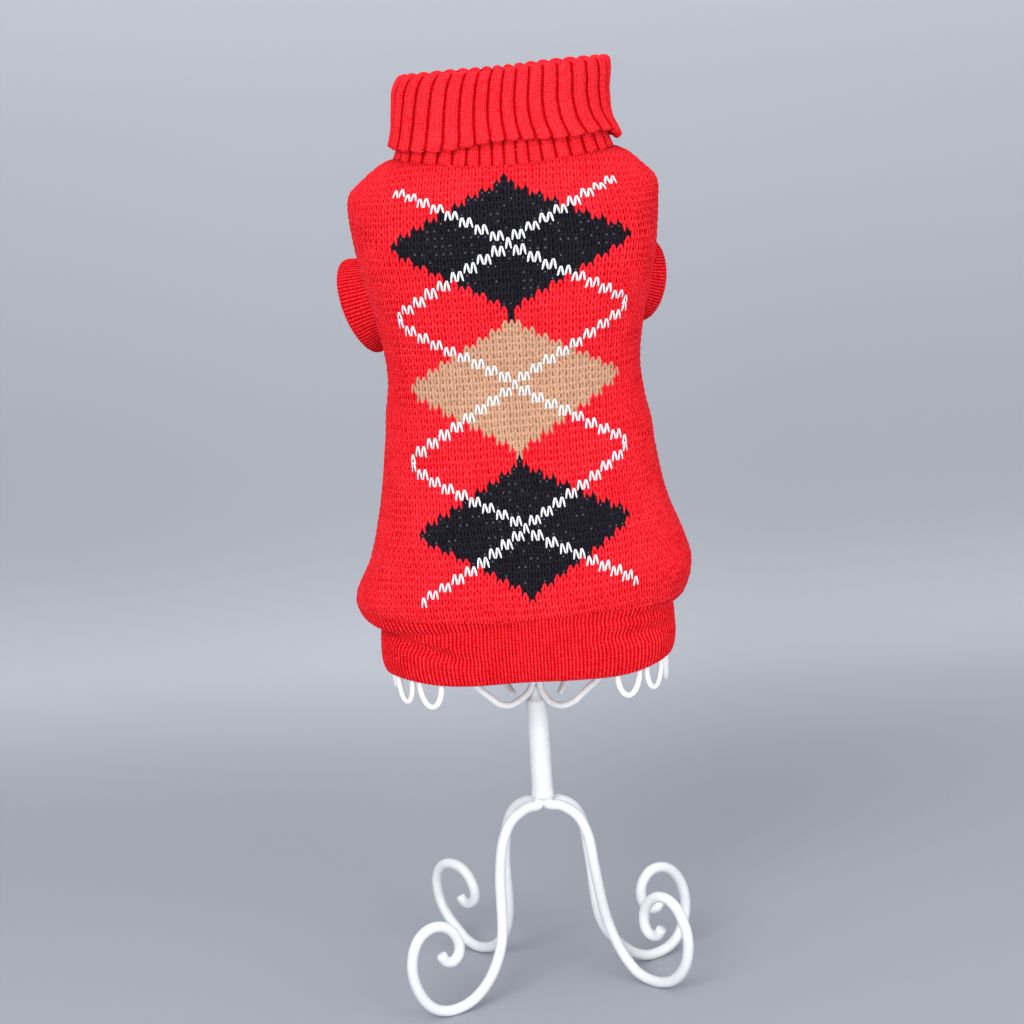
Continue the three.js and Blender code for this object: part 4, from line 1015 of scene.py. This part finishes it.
def yarn_look(n, shader, base, light, height, highlight=1.0, tint=(1.0, 0.3, 0.3, 1.0)):
    """Colour with painted shade between the strands and painted light on top of them, a relief with fibres, and wool's
    soft sheen.
    """
    yarn = n.group(YARN, Place=n.coords("Object"))
    light = n.add(light, n.span(yarn["Fibre"], 0.35, 0.65, -0.42, 0.42))
    light = n.least(n.most(n.add(light, n.span(yarn["Shade"], 0.3, 0.7, -0.06, 0.06)), 0.0), 1.15)
    # Painted light and shade: the light value, from the stitch's height and the fibres, darkens or lightens the yarn's
    # colour.
    painted_light = n.span(light, 0.0, 1.0, 0.44, 1.05)
    deep = n.mix(1.0, base, n.join(painted_light, painted_light, painted_light), "MULTIPLY")
    # A painted highlight, strongest on the lightest strands, is added to the colour.
    n.put(shader.inputs["Base Color"], n.mix(n.mul(highlight, n.mul(light, n.mul(light, light))), deep, PAINTED_HIGHLIGHT, "ADD"))
    n.put(shader.inputs["Normal"], n.bump(n.add(height, n.mul(yarn["Fibre"], FIBRE_BUMP)), STRAND_BUMP))
    for key, value in (("Roughness", 0.9), ("Specular IOR Level", 0.05), ("Sheen Weight", 0.025),
                       ("Sheen Roughness", 0.5), ("Sheen Tint", tint)):
        shader.inputs[key].default_value = value


def body_knit(name, argyle):
    """The body's plain knitting, with the argyle charted on the stitches' own numbers."""
    material, n, shader = new_material(name)
    stitch = n.group(STITCH, Stitches=n.coords("UV"))
    each = n.chance(n.join(stitch["Wale"], stitch["Row"], 3.0))
    base, depth, highlight = RED, 0.7, 1.0
    if argyle:
        chart = n.group(ARGYLE, Wale=stitch["Wale"], Row=stitch["Row"])
        fray = n.mul(n.step(stitch["Hole"], 0.55, 0.9), n.over(each, 0.66))
        base = n.mix(chart["Black"], base, n.mix(fray, BLACK, FRAY))
        base = n.mix(chart["Camel"], base, CAMEL)
        # Deeper painted shade in the holes of the camel stitches.
        depth = n.add(n.mul(chart["Camel"], 0.3), 0.7)
        # Less painted highlight on the black yarn.
        highlight = n.sub(1.0, n.mul(chart["Black"], 0.7))
        over_leg = n.step(stitch["Height"], 0.44, 0.6)
        base = n.mix(n.mul(chart["White"], over_leg), base, WHITE)
    # Painted shade in each stitch's hole, by a random amount per stitch, and painted light from the stitch's height:
    # lighter on the legs, darker between them.
    hole_shade = n.mul(n.mul(stitch["Hole"], depth), n.span(each, 0.0, 1.0, 0.6, 1.2))
    light = n.sub(n.span(stitch["Height"], 0.1, 0.85, 0.16, 0.92), hole_shade)
    yarn_look(n, shader, base, light, stitch["Height"], highlight, (1.0, 0.6, 0.6, 1.0))
    return material


def rib_knit(name, group, base):
    """A ribbed piece's knitting, with painted shade between the ribs."""
    material, n, shader = new_material(name)
    rib = n.group(group, Stitches=n.coords("UV"))
    # Painted shade in the grooves: the light value drops there and the base colour is darkened.
    light = n.sub(n.add(rib["Light"], 0.16), n.mul(rib["Groove"], 0.4))
    deep = n.sub(1.0, n.mul(rib["Groove"], 0.12))
    yarn_look(n, shader, n.mix(1.0, base, n.join(deep, deep, deep), "MULTIPLY"), light, rib["Height"])
    return material


def white_paint(name, full, thin):
    """White enamel on wire: a slightly uneven gloss coat, thin greyer patches, and a few specks."""
    material, n, shader = new_material(name)
    place = n.coords("Object")
    patch = n.noise(place, 90.0, 3.0, 0.6)
    speck = n.step(n.noise(place, 1400.0, 1.0, 0.5), 0.74, 0.8)
    base = n.mix(n.span(patch, 0.35, 0.75, 0.0, 0.35), colour(*full), colour(*thin))
    n.put(shader.inputs["Base Color"], n.mix(n.mul(speck, 0.25), base, colour(150, 150, 150)))
    n.put(shader.inputs["Roughness"], n.span(patch, 0.3, 0.7, 0.28, 0.42))
    n.put(shader.inputs["Normal"], n.bump(n.noise(place, 260.0, 2.0, 0.5), 0.0004, 0.6))
    shader.inputs["Coat Weight"].default_value = 0.25
    shader.inputs["Coat Roughness"].default_value = 0.2
    return material


# ---- The sweater ----

ARGYLE_KNIT = body_knit("argyle knitting", True)
PLAIN_KNIT = body_knit("plain red knitting", False)
COLLAR_KNIT = rib_knit("roll collar rib", BROAD_RIB, RIB_RED)
FINE_RIB = rib_knit("fine rib knitting", FINE_RIB_GROUP, RIB_RED)
# One white enamel in two copies: the stand's is painted darker as painted shade, and the dress form's is painted
# lighter as painted light on the wires under the hem.
PAINT = white_paint("stand's white enamel, painted darker", (228, 230, 233), (206, 208, 213))
LIT_FORM_PAINT = white_paint("dress form's white enamel, painted lighter", (253, 253, 254), (242, 243, 246))

back = panel("back_panel_knit", 0.0, 44, ARGYLE_KNIT, True)
belly = panel("belly_panel_knit", math.pi, 31, PLAIN_KNIT, False)
roll = collar(COLLAR_KNIT)
band = hem(FINE_RIB)
cuffs = [cuff_piece(c, FINE_RIB) for c in CUFFS]
for piece, node, finish, flat, rests in (
        (back, "back_panel", "knit_body", (0.290, 0.255), ["chest_ring", "waist_ring"]),
        (belly, "belly_panel", "knit_body", (0.205, 0.245), ["chest_ring", "waist_ring"]),
        (roll, "collar", "knit_rib", (0.340, 0.088), ["neck_ring"]),
        (band, "hem_band", "knit_rib", (0.445, 0.040), ["hem_hoop"]),
        (cuffs[0], "cuff_left", "knit_rib", (0.130, 0.022), ["belly_panel_knit"]),
        (cuffs[1], "cuff_right", "knit_rib", (0.120, 0.018), ["belly_panel_knit"])):
    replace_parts(piece, node)

post(PAINT)
for leg_name in LEG_KNEES:
    leg(leg_name, PAINT)
dress_form(LIT_FORM_PAINT)

# ---- Studio, in metres ----

# The paper's colours: painted darker low down and lighter high up, and a painted band of light at the bend.
PAPER_LOW, PAPER_HIGH, PAPER_BEND_LIGHT = (0.357, 0.378, 0.421, 1), (0.528, 0.555, 0.603, 1), (0.565, 0.595, 0.647, 1)


def backdrop():
    """Grey studio paper: a floor that curves up into a wall behind, painted lighter towards the top and with a painted
    band of light where it bends.
    """
    material, n, shader = new_material("studio paper")
    _, y, z = n.split(n.coords("Object"))
    # Painted light: a band where the paper bends, and a rise from low to high.
    bend_light = n.bell(n.sub(n.add(y, z), 0.62), 0.2)
    base = n.mix(n.step(z, 0.05, 0.8), PAPER_LOW, PAPER_HIGH)
    n.put(shader.inputs["Base Color"], n.mix(n.mul(bend_light, 0.8), base, PAPER_BEND_LIGHT))
    n.put(shader.inputs["Alpha"], n.sub(1.0, n.new("NewGeometry", {})["Backfacing"]))  # clear from behind and below
    shader.inputs["Roughness"].default_value = 0.85
    shader.inputs["Specular IOR Level"].default_value = 0.1
    near, start, radius, tall, half_width = -2.6, 0.55, 0.45, 3.0, 3.2
    t = np.linspace(0, math.pi / 2, 40)
    bent = np.stack([start + radius * np.sin(t), radius - radius * np.cos(t)], 1)
    profile = np.vstack([[(near, 0)], bent, [(start + radius, tall)]])
    xs = np.array([-half_width, half_width])
    points = np.stack([np.repeat(xs, len(profile)), np.tile(profile[:, 0], 2), np.tile(profile[:, 1], 2)], 1)
    k, many = np.arange(len(profile) - 1), len(profile)
    mesh = bpy.data.meshes.new("backdrop")
    mesh.from_pydata(points.tolist(), [], np.stack([k, k + many, k + many + 1, k + 1], 1).tolist())
    mesh.polygons.foreach_set("use_smooth", np.ones(len(k), bool))
    mesh.materials.append(material)
    obj = bpy.data.objects.new("backdrop", mesh)
    bpy.context.scene.collection.objects.link(obj)


def softbox(name, place, target, size, power):
    """A rectangular lamp that faces its target, with its power in watts."""
    data = bpy.data.lights.new(name, "AREA")
    data.shape, data.size, data.size_y = "RECTANGLE", *size
    data.energy = power
    obj = bpy.data.objects.new(name, data)
    obj.location = place
    obj.rotation_euler = (Vector(target) - Vector(place)).to_track_quat("-Z", "Y").to_euler()
    bpy.context.scene.collection.objects.link(obj)


backdrop()
softbox("key", (-0.8, -1.7, 1.3), (0, 0, 0.33), (1.2, 1.2), 32)
softbox("fill", (1.2, -1.5, 0.9), (0, 0, 0.3), (1.4, 1.4), 20)
softbox("low", (0.0, -1.5, 0.1), (0, 0, 0.26), (1.6, 0.5), 8)
softbox("top", (0.0, -0.1, 2.0), (0, 0.1, 0.3), (1.8, 1.4), 12)
world = bpy.data.worlds.new("studio")
world.use_nodes = True
world.node_tree.nodes["Background"].inputs["Color"].default_value = (0.95, 0.96, 1.0, 1)
world.node_tree.nodes["Background"].inputs["Strength"].default_value = 0.38
bpy.context.scene.world = world
bpy.context.scene.view_settings.view_transform = "Standard"


CAMERA_PLACE = np.array([-7.0, -1250.0, 549.0])  # millimetres, in the source's own frame
CAMERA_PITCH, CAMERA_ROLL, CAMERA_LENS = 12.5, 3.7, 82.97


def camera():
    """The camera: tipped down and rolled as in the photograph."""
    pitch, roll_turn = math.radians(CAMERA_PITCH), math.radians(CAMERA_ROLL)
    forward = Vector((0, math.cos(pitch), -math.sin(pitch)))
    right = Vector((1, 0, 0))
    up = right.cross(forward)
    right, up = (right * math.cos(roll_turn) - up * math.sin(roll_turn),
                 right * math.sin(roll_turn) + up * math.cos(roll_turn))
    place = (CAMERA_PLACE + SHIFT) / 1000
    data = bpy.data.cameras.new("camera")
    data.sensor_width, data.lens = 36, CAMERA_LENS
    obj = bpy.data.objects.new("camera", data)
    obj.matrix_world = Matrix((
        (right.x, up.x, -forward.x, place[0]), (right.y, up.y, -forward.y, place[1]),
        (right.z, up.z, -forward.z, place[2]), (0, 0, 0, 1)))
    bpy.context.scene.collection.objects.link(obj)
    bpy.context.scene.camera = obj


camera()
